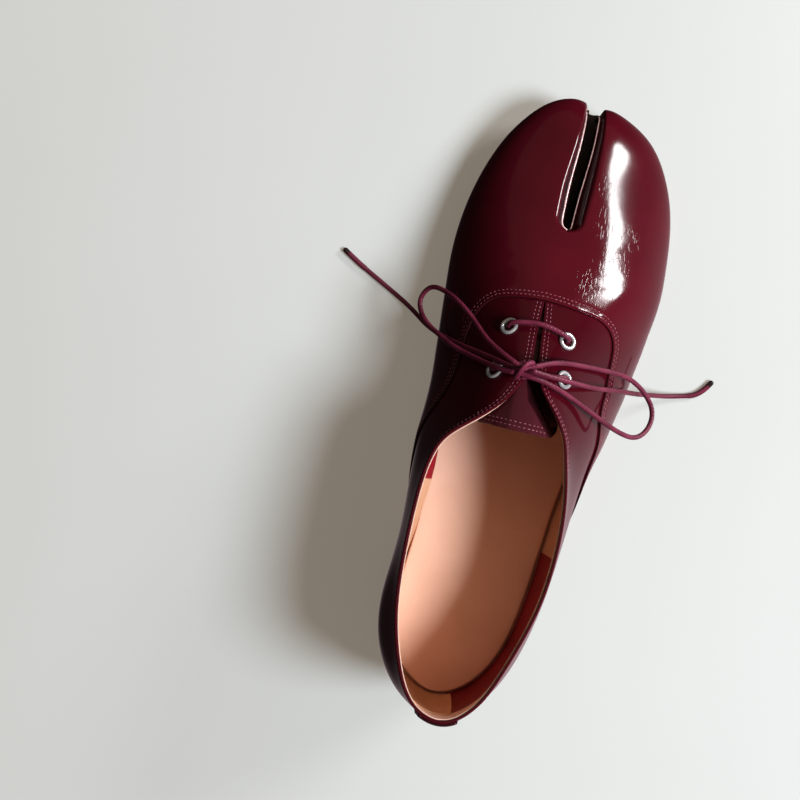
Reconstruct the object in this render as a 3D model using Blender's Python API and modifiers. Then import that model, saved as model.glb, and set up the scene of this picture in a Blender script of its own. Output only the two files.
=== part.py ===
"""Low split toe lace-up, right shoe: sole, heel, upper, tongue, insole, eyelets and lace.

Table lengths are millimetres. +Y points to the toe, +X to the outer (lateral) side, +Z up.
The tables count Y from the back of the heel and X from the heel's line, and MIDDLE is the
point of that plan that becomes the origin, under the middle of the shoe.
"""
import math

import bmesh
import bpy
import numpy as np
from mathutils import Matrix, Vector

MM = 0.001
GAP = 0.3
MIDDLE = (8.11, 129.37)
WELD = 2e-5
THIN = 1e-5
SMALL_STEP = 0.05
SIDE_SAMPLES = 2000
RIB_SAMPLES = 400

# Sole and heel
SOLE_THICK = 4.0
HEEL_RISE = 18.0
TOE_SPRING = 8.5
SPRING_POWER = 1.8
BALL_BACK = 163.0
BALL_FRONT = 187.0
SEAT_FRONT = 36.0
ARCH_POWER = 1.2
SHOE_LENGTH = 258.0
SOLE_EDGE = 0.9
SOLE_ROUND = 0.7
HEEL_EDGE = 0.5
HEEL_BREAST = 62.0
HEEL_TAPER = 2.6
LIFT_THICK = 5.0
INSOLE_THICK = 2.4
INSOLE_INSET = 3.0
INSOLE_TIP = 4.2
INSOLE_ROUND = 0.4
INSOLE_NOTCH = 3.0
TIP_CLEAR = 0.15
TOE_DIP_RADIUS = 5.0
TOE_DIP_DEPTH = 3.4
CUT_LOW = -5.0
CUT_HIGH = 40.0

# Upper
WALL = 1.6
VAMP_STEP = 0.8
SEAM_RUN = 60.0
TURN_RUN = 25.0

# Ribs of the upper behind the end of the lacing slit, from its inner side round the heel to its
# outer side. The foot is on the feather line, bulge and rise shape the rib above the sole,
# reach and drop shape it below its top, and the top is on the collar or the slit.
REAR_RIBS = [
    # foot_x, foot_y, bulge, rise, reach, drop, top_x, top_y, top_z
    (-32.6, 169.5, 10.0, 14.0, 20.0, 0.0, 2.8, 169.5, 48.7),
    (-31.8, 160.0, 10.0, 14.0, 19.0, 0.0, 2.2, 160.0, 53.4),
    (-31.0, 150.0, 10.0, 14.0, 18.0, 0.0, 2.2, 150.0, 58.5),
    (-30.2, 142.0, 10.5, 14.0, 16.5, 0.5, 1.6, 142.0, 62.6),
    (-29.6, 135.5, 10.5, 14.0, 14.5, 2.0, -0.6, 135.5, 65.2),
    (-29.0, 128.5, 10.8, 14.0, 12.0, 4.5, -4.4, 128.5, 65.2),
    (-28.5, 120.0, 11.0, 14.0, 8.5, 9.0, -12.6, 120.0, 63.0),
    (-28.0, 111.0, 10.8, 14.0, 4.8, 13.5, -22.4, 111.0, 61.2),
    (-27.4, 100.0, 10.0, 14.0, 2.5, 16.5, -27.4, 100.0, 60.6),
    (-26.8, 85.0, 8.5, 14.0, 1.8, 17.0, -28.9, 85.0, 61.0),
    (-26.8, 70.0, 7.0, 13.8, 1.6, 17.0, -28.9, 70.0, 61.8),
    (-27.8, 55.0, 6.8, 13.5, 2.2, 17.0, -28.2, 55.0, 63.0),
    (-28.4, 41.0, 7.8, 13.5, 3.0, 17.0, -26.4, 41.0, 64.6),
    (-26.4, 26.0, 8.0, 14.0, 3.4, 17.5, -22.2, 26.0, 67.0),
    (-20.6, 13.8, 6.8, 14.0, 3.0, 18.0, -16.2, 13.6, 69.2),
    (-12.2, 6.2, 6.0, 14.0, 2.4, 18.0, -9.6, 7.6, 70.6),
    (-1.5, 3.2, 6.0, 14.0, 2.0, 18.0, -1.8, 5.6, 71.0),
    (8.8, 6.8, 5.6, 14.0, 2.4, 18.0, 5.6, 8.2, 70.6),
    (16.6, 14.4, 6.2, 14.0, 2.8, 18.0, 12.2, 15.2, 69.4),
    (23.0, 26.6, 6.8, 14.0, 3.0, 17.5, 18.0, 27.0, 67.4),
    (26.6, 41.0, 7.0, 13.5, 2.6, 17.0, 23.0, 41.0, 65.3),
    (28.6, 55.0, 7.2, 13.5, 2.0, 17.0, 26.7, 55.0, 63.4),
    (30.2, 70.0, 7.6, 13.8, 1.6, 17.0, 28.5, 70.0, 62.0),
    (31.8, 85.0, 8.6, 14.0, 1.8, 17.0, 28.6, 85.0, 61.0),
    (34.2, 100.0, 9.8, 14.0, 2.5, 16.5, 26.7, 100.0, 60.6),
    (36.8, 111.0, 10.4, 14.0, 4.8, 13.5, 23.9, 111.0, 61.0),
    (39.4, 120.0, 10.8, 14.0, 8.5, 9.0, 20.4, 120.0, 62.2),
    (42.0, 128.5, 11.0, 14.0, 12.0, 4.5, 13.8, 128.5, 64.6),
    (44.0, 135.5, 11.0, 14.0, 15.0, 2.0, 7.6, 135.5, 65.2),
    (45.4, 142.0, 11.0, 14.0, 18.0, 0.5, 5.2, 142.0, 62.6),
    (46.6, 150.0, 11.0, 14.0, 20.0, 0.0, 4.2, 150.0, 58.5),
    (47.8, 160.0, 11.0, 14.2, 26.0, 0.0, 3.6, 160.0, 53.4),
    (48.6, 169.5, 11.0, 15.0, 31.0, 0.0, 2.8, 169.5, 48.7),
]

# Ribs in front of the slit; top is a station along the ridge.
TOE_RIBS = {
    # foot_x, foot_y, bulge, rise, reach, drop, top
    "medial": [
        (-33.6, 184.0, 10.3, 13.5, 21.0, 0.0, 184.0),
        (-33.4, 197.0, 10.0, 12.5, 21.0, 0.0, 197.0),
        (-31.6, 211.0, 9.5, 11.5, 20.0, 0.0, 210.0),
        (-28.2, 224.0, 9.0, 11.0, 18.5, 0.0, 221.0),
        (-23.4, 235.6, 8.5, 10.5, 16.5, 0.0, 230.0),
        (-17.0, 245.2, 8.0, 10.0, 14.0, 0.0, 238.0),
        (-9.8, 251.8, 7.5, 9.5, 11.0, 0.0, 245.5),
        (-2.6, 254.6, 6.5, 8.0, 7.5, 0.0, 252.5),
        (3.0, 255.0, 4.0, 5.0, 4.0, 0.0, 258.5),
        (7.6, 254.8, 0.0, 0.0, 0.0, 0.0, 264.0),
    ],
    "lateral": [
        (49.6, 184.0, 11.0, 15.6, 35.0, 0.0, 184.0),
        (49.8, 197.0, 10.5, 13.2, 31.0, 0.0, 197.0),
        (49.0, 211.3, 10.0, 11.6, 22.5, 0.0, 210.0),
        (46.2, 224.6, 9.5, 10.0, 13.5, 0.0, 221.0),
        (40.9, 236.2, 9.0, 8.0, 8.5, 0.0, 230.0),
        (33.5, 245.2, 8.5, 7.8, 6.5, 0.0, 238.0),
        (25.2, 250.0, 7.5, 8.4, 7.0, 0.0, 245.5),
        (17.6, 252.2, 6.5, 8.0, 7.0, 0.0, 252.5),
        (12.2, 253.7, 4.0, 5.0, 4.5, 0.0, 258.5),
        (7.6, 254.8, 0.0, 0.0, 0.0, 0.0, 264.0),
    ],
}

# Ridge of the vamp from the end of the slit to the nose
RIDGE = [
    # y, x, z
    (169.5, 2.8, 48.7),
    (186.0, 4.8, 42.2),
    (203.0, 6.3, 36.8),
    (219.0, 6.9, 32.8),
    (235.0, 7.7, 28.8),
]
NOSE_START = 235.0
NOSE_RUN = 29.0
NOSE_FULL = 4.0
NOSE_AHEAD = 0.5
NOSE_DROP = 0.55

# Split between the toes
SLOT = [
    # y, centre_x, half_width, lip
    (199.0, 6.3, 2.6, 3.5),
    (210.0, 6.5, 2.9, 3.7),
    (220.0, 6.9, 3.2, 3.7),
    (230.0, 7.5, 3.3, 3.1),
    (240.0, 7.9, 3.2, 2.5),
    (258.0, 7.5, 2.4, 1.9),
]
SLOT_ROOT = 205.4

# Front edge of the quarters under the vamp: place along the foot, share of the rib's height
SEAM = [
    # y, share
    (72.0, 0.0),
    (85.0, 0.22),
    (103.0, 0.37),
    (123.0, 0.47),
    (140.0, 0.51),
    (153.0, 0.55),
    (160.0, 0.595),
    (164.5, 0.65),
    (167.2, 0.72),
    (168.4, 0.81),
    (169.0, 0.9),
    (169.5, 1.0),
]

# Eyelets on the facings
EYELETS = {
    # x, y
    "front_medial": (-8.6, 156.2),
    "front_lateral": (14.2, 155.6),
    "rear_medial": (-10.6, 138.2),
    "rear_lateral": (15.6, 140.6),
}
EYELET_PROFILE = [
    # radius, height
    (2.65, 1.25),
    (3.25, 1.15),
    (3.65, 0.8),
    (3.65, 0.5),
    (2.4, 0.5),
    (2.35, -1.1),
    (2.0, -1.1),
    (2.1, 0.9),
]
EYELET_STEPS = 16
EYELET_HOLE = 2.75
EYELET_CUT = 6.0

# Tongue: its end behind the slit, its front under the vamp, and half widths there. Its outer side
# folds down along a line, by a drop reached over a run, and the fold fades out under the facings.
TONGUE_END = 117.6
TONGUE_TOP = 139.0
TONGUE_MIDDLE = 3.2
TONGUE_FRONT = 176.0
TONGUE_HALF_END = 17.5
TONGUE_HALF_FRONT = 20.0
TONGUE_RISE = 0.2
TONGUE_CLEAR = 1.0
TONGUE_THICK = 1.5
TONGUE_SHARES = (1.0, 0.8, 0.6, 0.4, 0.2)
TONGUE_FOLD = [
    # y, x
    (117.8, 14.7),
    (120.8, 12.1),
    (125.9, 7.1),
    (130.2, 3.1),
    (137.1, 1.0),
]
FOLD_DROP = 8.0
FOLD_RUN = 8.0
FOLD_FADE = (138.0, 146.0)

# Heel tab: width round the collar, share of the rib that it covers, thickness
TAB_WIDTH = 21.0
TAB_FROM = 0.8
TAB_THICK = 0.8

# Lace: a round cord through the eyelets, with a knot, a bow and two ends that lie on the floor
LACE_RADIUS = 1.0
LACE_STEP = 5.0
BAR_STEP = 1.6
TIP_RADIUS = 1.15
KNOT_CENTRE = (-0.8, 140.3, 68.9)
KNOT_SIZE = (3.2, 3.6, 2.4)
BAR_RISE = [
    # along the leather, above it
    (0.0, 0.1),
    (0.1, 1.3),
    (1.2, 2.4),
    (3.0, 2.65),
]
BARS = {
    # eyelet, eyelet, points between
    "lace_bar_front": (
        "front_medial",
        "front_lateral",
        [(-3.1, 159.0, 55.8), (2.3, 159.5, 56.6), (7.6, 158.8, 56.6)],
    ),
    "lace_bar_rear": (
        "rear_medial",
        "rear_lateral",
        [(-4.6, 138.9, 64.2), (0.0, 139.4, 65.3), (4.2, 139.8, 65.6), (8.4, 140.1, 65.1)],
    ),
}
LACE = {
    # x, y, z
    "lace_loop_medial": [
        (-5.0, 142.3, 69.2),
        (-10.7, 145.2, 65.0),
        (-16.7, 149.4, 58.6),
        (-22.5, 155.5, 51.0),
        (-29.5, 161.7, 43.0),
        (-36.7, 165.7, 35.0),
        (-42.1, 165.7, 30.0),
        (-44.5, 161.1, 28.0),
        (-42.0, 154.0, 31.0),
        (-35.5, 148.5, 38.0),
        (-27.0, 143.9, 47.0),
        (-16.1, 140.5, 58.0),
        (-8.8, 138.8, 66.2),
        (-4.8, 138.6, 69.4),
    ],
    "lace_end_medial": [
        (-5.0, 140.4, 66.9),
        (-9.6, 141.6, 62.6),
        (-17.6, 143.6, 53.0),
        (-26.2, 145.8, 41.6),
        (-34.6, 148.9, 28.0),
        (-41.6, 153.4, 12.5),
        (-49.0, 158.9, 3.4),
        (-61.0, 165.4, 1.2),
        (-71.1, 170.5, 1.2),
    ],
    "lace_loop_lateral": [
        (3.4, 142.8, 69.2),
        (7.6, 144.8, 66.8),
        (13.3, 146.6, 62.0),
        (21.9, 147.8, 54.6),
        (32.3, 148.6, 46.2),
        (43.9, 148.3, 37.0),
        (52.3, 144.6, 31.0),
        (57.7, 138.0, 29.0),
        (57.2, 131.2, 31.0),
        (52.9, 126.5, 35.0),
        (46.6, 126.0, 40.4),
        (36.8, 128.5, 48.6),
        (25.1, 132.7, 56.8),
        (15.0, 136.0, 64.2),
        (8.0, 137.6, 68.4),
        (3.6, 138.2, 69.6),
    ],
    "lace_end_lateral": [
        (2.8, 140.5, 71.4),
        (8.8, 140.2, 69.2),
        (16.0, 140.2, 65.4),
        (27.0, 140.5, 56.2),
        (39.1, 142.2, 42.6),
        (49.4, 143.6, 26.4),
        (60.6, 145.6, 11.0),
        (69.0, 147.3, 3.2),
        (77.3, 149.5, 1.2),
    ],
}
LACE_TIPS = {
    # start, end
    "lace_tip_medial": ((-71.4, 170.7, 1.2), (-81.0, 176.1, 1.2)),
    "lace_tip_lateral": ((77.6, 149.7, 1.2), (85.6, 157.2, 1.2)),
}


def natural_spline(stations, rows):
    """Function of station for the smooth curve through the rows."""
    at = np.asarray(stations, float)
    values = np.asarray(rows, float)
    gap = np.diff(at)
    slope = np.diff(values, axis=0) / gap[:, None]
    count = len(at)
    system = np.eye(count)
    target = np.zeros_like(values)
    for i in range(1, count - 1):
        system[i, i - 1:i + 2] = gap[i - 1], 2 * (gap[i - 1] + gap[i]), gap[i]
        target[i] = 6 * (slope[i] - slope[i - 1])
    bend = np.linalg.solve(system, target)

    def read(station):
        station = np.atleast_1d(np.asarray(station, float))
        k = np.clip(np.searchsorted(at, station) - 1, 0, count - 2)
        left = (station - at[k])[:, None]
        right = (at[k + 1] - station)[:, None]
        width = gap[k][:, None]
        curved = (bend[k] * right**3 + bend[k + 1] * left**3) / (6 * width)
        from_left = (values[k] / width - bend[k] * width / 6) * right
        from_right = (values[k + 1] / width - bend[k + 1] * width / 6) * left
        return curved + from_left + from_right

    return read


def sole_top(y):
    """Height of the sole's upper face: heel seat, arch, flat ball and toe spring."""
    y = np.asarray(y, float)
    back = np.clip((BALL_BACK - y) / (BALL_BACK - SEAT_FRONT), 0, 1) ** ARCH_POWER
    front = np.clip((y - BALL_FRONT) / (SHOE_LENGTH - BALL_FRONT), 0, None) ** SPRING_POWER
    return SOLE_THICK + HEEL_RISE * back**2 * (3 - 2 * back) + TOE_SPRING * front


# One run of ribs, from the inner toe round the heel to the outer toe
RIB_SHAPES = np.array(
    [row[:6] for row in reversed(TOE_RIBS["medial"])]
    + [row[:6] for row in REAR_RIBS]
    + [row[:6] for row in TOE_RIBS["lateral"]]
)
STATIONS = np.concatenate(([0.0], np.cumsum(np.hypot(*np.diff(RIB_SHAPES[:, :2], axis=0).T))))
TOE_COUNT = len(TOE_RIBS["medial"])
SLIT_END = {"medial": STATIONS[TOE_COUNT], "lateral": STATIONS[-TOE_COUNT - 1]}
HEEL_STATION = STATIONS[TOE_COUNT + len(REAR_RIBS) // 2]
rib_shape = natural_spline(STATIONS, RIB_SHAPES)
collar = natural_spline(STATIONS[TOE_COUNT:-TOE_COUNT], [row[6:] for row in REAR_RIBS])
ridge_line = natural_spline([row[0] for row in RIDGE], [row[1:] for row in RIDGE])
slot_line = natural_spline([row[0] for row in SLOT], [row[1:] for row in SLOT])
TOE_TOPS = [row[6] for row in TOE_RIBS["medial"]]
toe_top = {
    "medial": natural_spline(
        STATIONS[:TOE_COUNT + 1], [[top] for top in reversed([RIDGE[0][0]] + TOE_TOPS)]
    ),
    "lateral": natural_spline(
        STATIONS[-TOE_COUNT - 1:], [[top] for top in [RIDGE[0][0]] + TOE_TOPS]
    ),
}


def bezier(a, b, c, d, t):
    """Cubic through a and d with handles at b and c."""
    return (1 - t)**3 * a + 3 * (1 - t)**2 * t * b + 3 * (1 - t) * t**2 * c + t**3 * d


def ridge(station):
    """Point on the vamp's ridge; past the nose's start the station follows its fall."""
    station = np.asarray(station, float)
    y = np.minimum(station, NOSE_START)
    x, z = ridge_line(y).T
    fall = np.clip((station - NOSE_START) / NOSE_RUN, 0, 1)
    tip_x, tip_y = TOE_RIBS["medial"][-1][:2]
    tip_z = float(sole_top(tip_y)) + GAP
    start_z = float(ridge_line(NOSE_START)[0, 1])
    slope = (RIDGE[-1][2] - RIDGE[-2][2]) / (RIDGE[-1][0] - RIDGE[-2][0])
    handle = NOSE_AHEAD * (tip_y - NOSE_START)
    nose_y = bezier(NOSE_START, NOSE_START + handle, tip_y + NOSE_FULL, tip_y, fall)
    nose_z = bezier(start_z, start_z + slope * handle, tip_z + NOSE_DROP * (start_z - tip_z), tip_z, fall)
    on_nose = station > NOSE_START
    x = np.where(on_nose, x + (tip_x - x) * fall, x)
    return np.stack([x, np.where(on_nose, nose_y, y), np.where(on_nose, nose_z, z)], axis=-1)


def rib_top(station):
    """Top point of the rib at a station: collar, slit edge or ridge."""
    on_medial_toe = station < SLIT_END["medial"]
    on_lateral_toe = station > SLIT_END["lateral"]
    inner = ridge(toe_top["medial"](np.minimum(station, SLIT_END["medial"]))[:, 0])
    outer = ridge(toe_top["lateral"](np.maximum(station, SLIT_END["lateral"]))[:, 0])
    rear = collar(np.clip(station, SLIT_END["medial"], SLIT_END["lateral"]))
    return np.where(on_medial_toe[:, None], inner, np.where(on_lateral_toe[:, None], outer, rear))


def dome(station, share):
    """Points of the upper's outer face: one rib per station, shares 0 at the sole to 1 at the top."""
    station = np.atleast_1d(np.asarray(station, float))
    share = np.asarray(share, float).reshape(len(station), -1)
    shape = rib_shape(station)
    ahead = rib_shape(station + SMALL_STEP)[:, :2] - rib_shape(station - SMALL_STEP)[:, :2]
    out = np.stack([ahead[:, 1], -ahead[:, 0]], axis=1)
    out /= np.linalg.norm(out, axis=1)[:, None]
    behind = np.minimum(station - SLIT_END["medial"], SLIT_END["lateral"] - station)
    level = np.clip(behind / TURN_RUN, 0, 1)
    away = np.stack([out[:, 0], np.minimum(out[:, 1], 0) * level], axis=1)
    away /= np.maximum(np.linalg.norm(away, axis=1), 1e-6)[:, None]
    foot_z = sole_top(shape[:, 1]) + GAP
    foot = np.column_stack([shape[:, :2], foot_z])
    top = rib_top(station)
    low = foot + np.column_stack([out * shape[:, 2:3], shape[:, 3]])
    high = top + np.column_stack([away * shape[:, 4:5], -shape[:, 5]])
    parts = [p[:, None, :] for p in (foot, low, high, top)]
    return bezier(*parts, share[:, :, None])


def dome_normal(station, share):
    """Outward normals of the upper's outer face."""
    station = np.atleast_1d(np.asarray(station, float))
    share = np.asarray(share, float).reshape(len(station), -1)
    step = 4 * SMALL_STEP
    rise = 0.01
    along = dome(station + step, share) - dome(station - step, share)
    up = dome(station, np.minimum(share + rise, 1)) - dome(station, np.maximum(share - rise, 0))
    normal = np.cross(along, up)
    return normal / np.maximum(np.linalg.norm(normal, axis=2), 1e-9)[:, :, None]


def slot_distance(points):
    """Plan distance of points from the middle line of the split, and the way towards it."""
    y = points[..., 1]
    centre = slot_line(np.clip(y, SLOT_ROOT, SHOE_LENGTH).ravel())[:, 0].reshape(y.shape)
    to_x = centre - points[..., 0]
    to_y = np.maximum(SLOT_ROOT - y, 0)
    distance = np.hypot(to_x, to_y)
    return distance, np.stack([to_x, to_y], axis=-1) / np.maximum(distance, 1e-6)[..., None]


def slot_sizes(y):
    """Half width and lip of the split at a place along the foot."""
    return slot_line(np.clip(y, SLOT_ROOT, SHOE_LENGTH))[:, 1:]


def lip_share(station):
    """Share of the rib's height where the lip of the split begins."""
    shares = np.linspace(0, 1, RIB_SAMPLES)
    found = []
    for at in np.atleast_1d(station):
        points = dome(at, shares)[0]
        room = slot_distance(points)[0] - slot_sizes(points[:, 1]).sum(axis=1)
        inside = np.nonzero(room < 0)[0]
        if not len(inside):
            found.append(1.0)
        elif inside[0] == 0:
            found.append(0.0)
        else:
            k = inside[0]
            found.append(np.interp(0, [room[k], room[k - 1]], [shares[k], shares[k - 1]]))
    return np.array(found)


def seam_share(y):
    """Share of the rib's height where the vamp's edge lies over the quarter."""
    rows = np.array(SEAM)
    run = np.concatenate(([0.0], np.cumsum(np.hypot(np.diff(rows[:, 0]), SEAM_RUN * np.diff(rows[:, 1])))))
    fine = natural_spline(run, rows)(np.linspace(0, run[-1], RIB_SAMPLES))
    return np.clip(np.interp(y, fine[:, 0], fine[:, 1]), 0, 1)


def side_stations(side):
    """Dense stations from the heel to the toe tip on one side."""
    end = STATIONS[0] if side == "medial" else STATIONS[-1]
    return np.linspace(HEEL_STATION, end, SIDE_SAMPLES)


def station_at(side, y):
    """Station of the rib whose foot lies at a place along the foot, between heel and toes."""
    dense = side_stations(side)
    feet = rib_shape(dense)[:, 1]
    tip = np.argmax(feet)
    return np.interp(y, feet[:tip], dense[:tip])


def station_of_top(side, top):
    """Station of the toe rib that reaches a station along the ridge."""
    end = STATIONS[0] if side == "medial" else STATIONS[-1]
    dense = np.linspace(SLIT_END[side], end, SIDE_SAMPLES)
    return np.interp(top, toe_top[side](dense)[:, 0], dense)


def mouth_station(side):
    """Station of the last toe rib, whose foot is on the lip at the mouth of the split."""
    dense = side_stations(side)[SIDE_SAMPLES // 2:]
    feet = rib_shape(dense)[:, :2]
    room = slot_distance(feet)[0] - slot_sizes(feet[:, 1]).sum(axis=1)
    return np.interp(0, -room, dense)


def place(point):
    """Table millimetres to metres about the shoe's middle."""
    return Vector(((point[0] - MIDDLE[0]) * MM, (point[1] - MIDDLE[1]) * MM, point[2] * MM))


def finish_mesh(name, mesh, material, smooth=50):
    """Object of the shoe from a mesh, with its own material."""
    mesh.materials.clear()
    mesh.materials.append(material)
    mesh.shade_smooth()
    mesh.set_sharp_from_angle(angle=math.radians(smooth))
    obj = bpy.data.objects.new(name, mesh)
    SHOE.objects.link(obj)
    return obj


def leather(name, colour, roughness, metallic=0.0):
    """Principled material."""
    material = bpy.data.materials.new(name)
    material.use_nodes = True
    shader = material.node_tree.nodes["Principled BSDF"]
    shader.inputs["Base Color"].default_value = (*colour, 1)
    shader.inputs["Roughness"].default_value = roughness
    shader.inputs["Metallic"].default_value = metallic
    return material


def add_grid(bm, rows, slot=0):
    """Quads between neighbouring rows of points."""
    verts = [[bm.verts.new(place(p)) for p in row] for row in rows]
    for a, b in zip(verts, verts[1:]):
        for k in range(len(a) - 1):
            face = bm.faces.new((a[k], b[k], b[k + 1], a[k + 1]))
            face.material_index = slot


def tidy(bm):
    """Weld coinciding points, drop empty faces and turn every face out."""
    bmesh.ops.remove_doubles(bm, verts=bm.verts, dist=WELD)
    bmesh.ops.dissolve_degenerate(bm, edges=bm.edges, dist=THIN)
    bmesh.ops.recalc_face_normals(bm, faces=bm.faces)


def section_loft(name, sections, material, smooth=50):
    """Solid through closed sections with the same number of points, capped at both ends."""
    bm = bmesh.new()
    loops = [[bm.verts.new(place(p)) for p in section] for section in sections]
    count = len(loops[0])
    for a, b in zip(loops, loops[1:]):
        for k in range(count):
            bm.faces.new((a[k], a[(k + 1) % count], b[(k + 1) % count], b[k]))
    for cap in (loops[0], loops[-1]):
        bm.faces.new(cap)
    tidy(bm)
    mesh = bpy.data.meshes.new(name)
    bm.to_mesh(mesh)
    bm.free()
    return finish_mesh(name, mesh, material, smooth)


def eased(start, end, count):
    """Places from start to end, closer together at both ends."""
    turn = np.linspace(0, math.pi, count)
    return start + (end - start) * (1 - np.cos(turn)) / 2


def outline_span(y, offset):
    """Inner and outer edge of the feather line moved out by offset, at places along the foot."""
    spans = []
    for side in ("medial", "lateral"):
        dense = side_stations(side)
        ahead = rib_shape(dense + SMALL_STEP)[:, :2] - rib_shape(dense - SMALL_STEP)[:, :2]
        out = np.stack([ahead[:, 1], -ahead[:, 0]], axis=1)
        edge = rib_shape(dense)[:, :2] + offset * out / np.linalg.norm(out, axis=1)[:, None]
        tip = np.argmax(edge[:, 1])
        spans.append(np.interp(y, edge[:tip, 1], edge[:tip, 0]))
    return np.stack(spans, axis=-1)


def plate_sections(ys, offset, low, high, rounding):
    """Sections across the foot of a plate between two height functions."""
    sections = []
    for (inner, outer), bottom, top, y in zip(outline_span(ys, offset), low(ys), high(ys), ys):
        corner = min(rounding, 0.3 * (outer - inner))
        sections.append([
            (inner, y, bottom + corner),
            (inner, y, top - corner),
            (inner + corner, y, top),
            (outer - corner, y, top),
            (outer, y, top - corner),
            (outer, y, bottom + corner),
            (outer - corner, y, bottom),
            (inner + corner, y, bottom),
        ])
    return sections


def foot_places(offset, count):
    """Places along the foot from heel back to toe tip for a plate moved out by offset."""
    heel = rib_shape(HEEL_STATION)[0, 1] - offset
    tips = []
    for side in ("medial", "lateral"):
        tips.append(rib_shape(side_stations(side))[:, 1].max() + offset)
    return eased(heel + TIP_CLEAR, min(tips) - TIP_CLEAR, count)


def add_cutter(name, mesh):
    """Object that only cuts others."""
    obj = bpy.data.objects.new(name, mesh)
    CUTTERS.objects.link(obj)
    obj.hide_render = True
    obj.display_type = "WIRE"
    return obj


def cut(obj, cutter):
    """Boolean difference."""
    boolean = obj.modifiers.new(cutter.name, "BOOLEAN")
    boolean.operation = "DIFFERENCE"
    boolean.object = cutter


def prism(name, outline, low, high):
    """Upright cutter over a plan outline."""
    bm = bmesh.new()
    floor = [bm.verts.new(place((x, y, low))) for x, y in outline]
    lid = [bm.verts.new(place((x, y, high))) for x, y in outline]
    bm.faces.new(floor)
    bm.faces.new(lid)
    for k in range(len(outline)):
        nxt = (k + 1) % len(outline)
        bm.faces.new((floor[k], floor[nxt], lid[nxt], lid[k]))
    tidy(bm)
    mesh = bpy.data.meshes.new(name)
    bm.to_mesh(mesh)
    bm.free()
    return add_cutter(name, mesh)


def slot_outline(margin):
    """Plan outline of the split widened by a margin, open past the toe."""
    ys = np.linspace(SLOT_ROOT, SHOE_LENGTH + 12, 9)
    centre, half, _ = slot_line(np.minimum(ys, SHOE_LENGTH)).T
    turns = np.linspace(math.pi, 2 * math.pi, 9)[1:-1]
    radius = half[0] + margin
    root = [(centre[0] + radius * math.cos(t), SLOT_ROOT + radius * math.sin(t)) for t in turns]
    left = [(c - h - margin, y) for c, h, y in zip(centre, half, ys)]
    right = [(c + h + margin, y) for c, h, y in zip(centre, half, ys)]
    return left[::-1] + root + right


def make_outsole(material):
    """Thin sole with heel seat, arch, flat ball, toe spring and a dip between the toes."""
    ys = foot_places(SOLE_EDGE, 38)
    sections = plate_sections(
        ys, SOLE_EDGE, lambda y: sole_top(y) - SOLE_THICK, sole_top, SOLE_ROUND
    )
    sole = section_loft("outsole", sections, material, 40)
    centre = TOE_RIBS["medial"][-1]
    turns = np.linspace(0, 2 * math.pi, 24, endpoint=False)
    dip_y = SHOE_LENGTH + TOE_DIP_RADIUS - TOE_DIP_DEPTH
    dip = [(centre[0] + TOE_DIP_RADIUS * math.cos(t), dip_y + TOE_DIP_RADIUS * math.sin(t)) for t in turns]
    cut(sole, prism("toe_dip_cutter", dip, CUT_LOW, CUT_HIGH))
    return sole


def make_heel(block_material, lift_material):
    """Low stacked heel that narrows downwards, and its rubber lift."""
    spread = 1 - np.cos(np.linspace(0, math.pi / 2, 16))

    def ring(share, height):
        offset = HEEL_EDGE - HEEL_TAPER * share
        start = rib_shape(HEEL_STATION)[0, 1] - offset + TIP_CLEAR
        ys = start + (HEEL_BREAST - HEEL_TAPER * share / 2 - start) * spread
        inner, outer = outline_span(ys, offset).T
        return np.stack([inner, outer, ys, height(ys)], axis=1)

    def solid(name, rings, material):
        sections = []
        for rows in zip(*rings):
            inner = [(row[0], row[2], row[3]) for row in rows]
            outer = [(row[1], row[2], row[3]) for row in reversed(rows)]
            sections.append(inner + outer)
        return section_loft(name, sections, material, 40)

    def level(height):
        return lambda ys: np.full_like(ys, height)

    def seat(ys):
        return sole_top(ys) - SOLE_THICK - GAP

    low = LIFT_THICK + GAP
    rings = [
        ring(1.0, level(low)),
        ring(0.5, lambda ys: (low + seat(ys)) / 2),
        ring(0.0, seat),
    ]
    solid("heel_block", rings, block_material)
    solid("heel_lift", [ring(1.2, level(0)), ring(1.0, level(LIFT_THICK))], lift_material)


def make_insole(material):
    """Sock that lies on the sole inside the upper, notched round the split."""
    sections = plate_sections(
        foot_places(-INSOLE_TIP, 32),
        -INSOLE_INSET,
        lambda y: sole_top(y) + GAP,
        lambda y: sole_top(y) + GAP + INSOLE_THICK,
        INSOLE_ROUND,
    )
    insole = section_loft("insole", sections, material, 40)
    cut(insole, prism("insole_notch_cutter", slot_outline(INSOLE_NOTCH), CUT_LOW, CUT_HIGH))
    return insole


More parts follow.
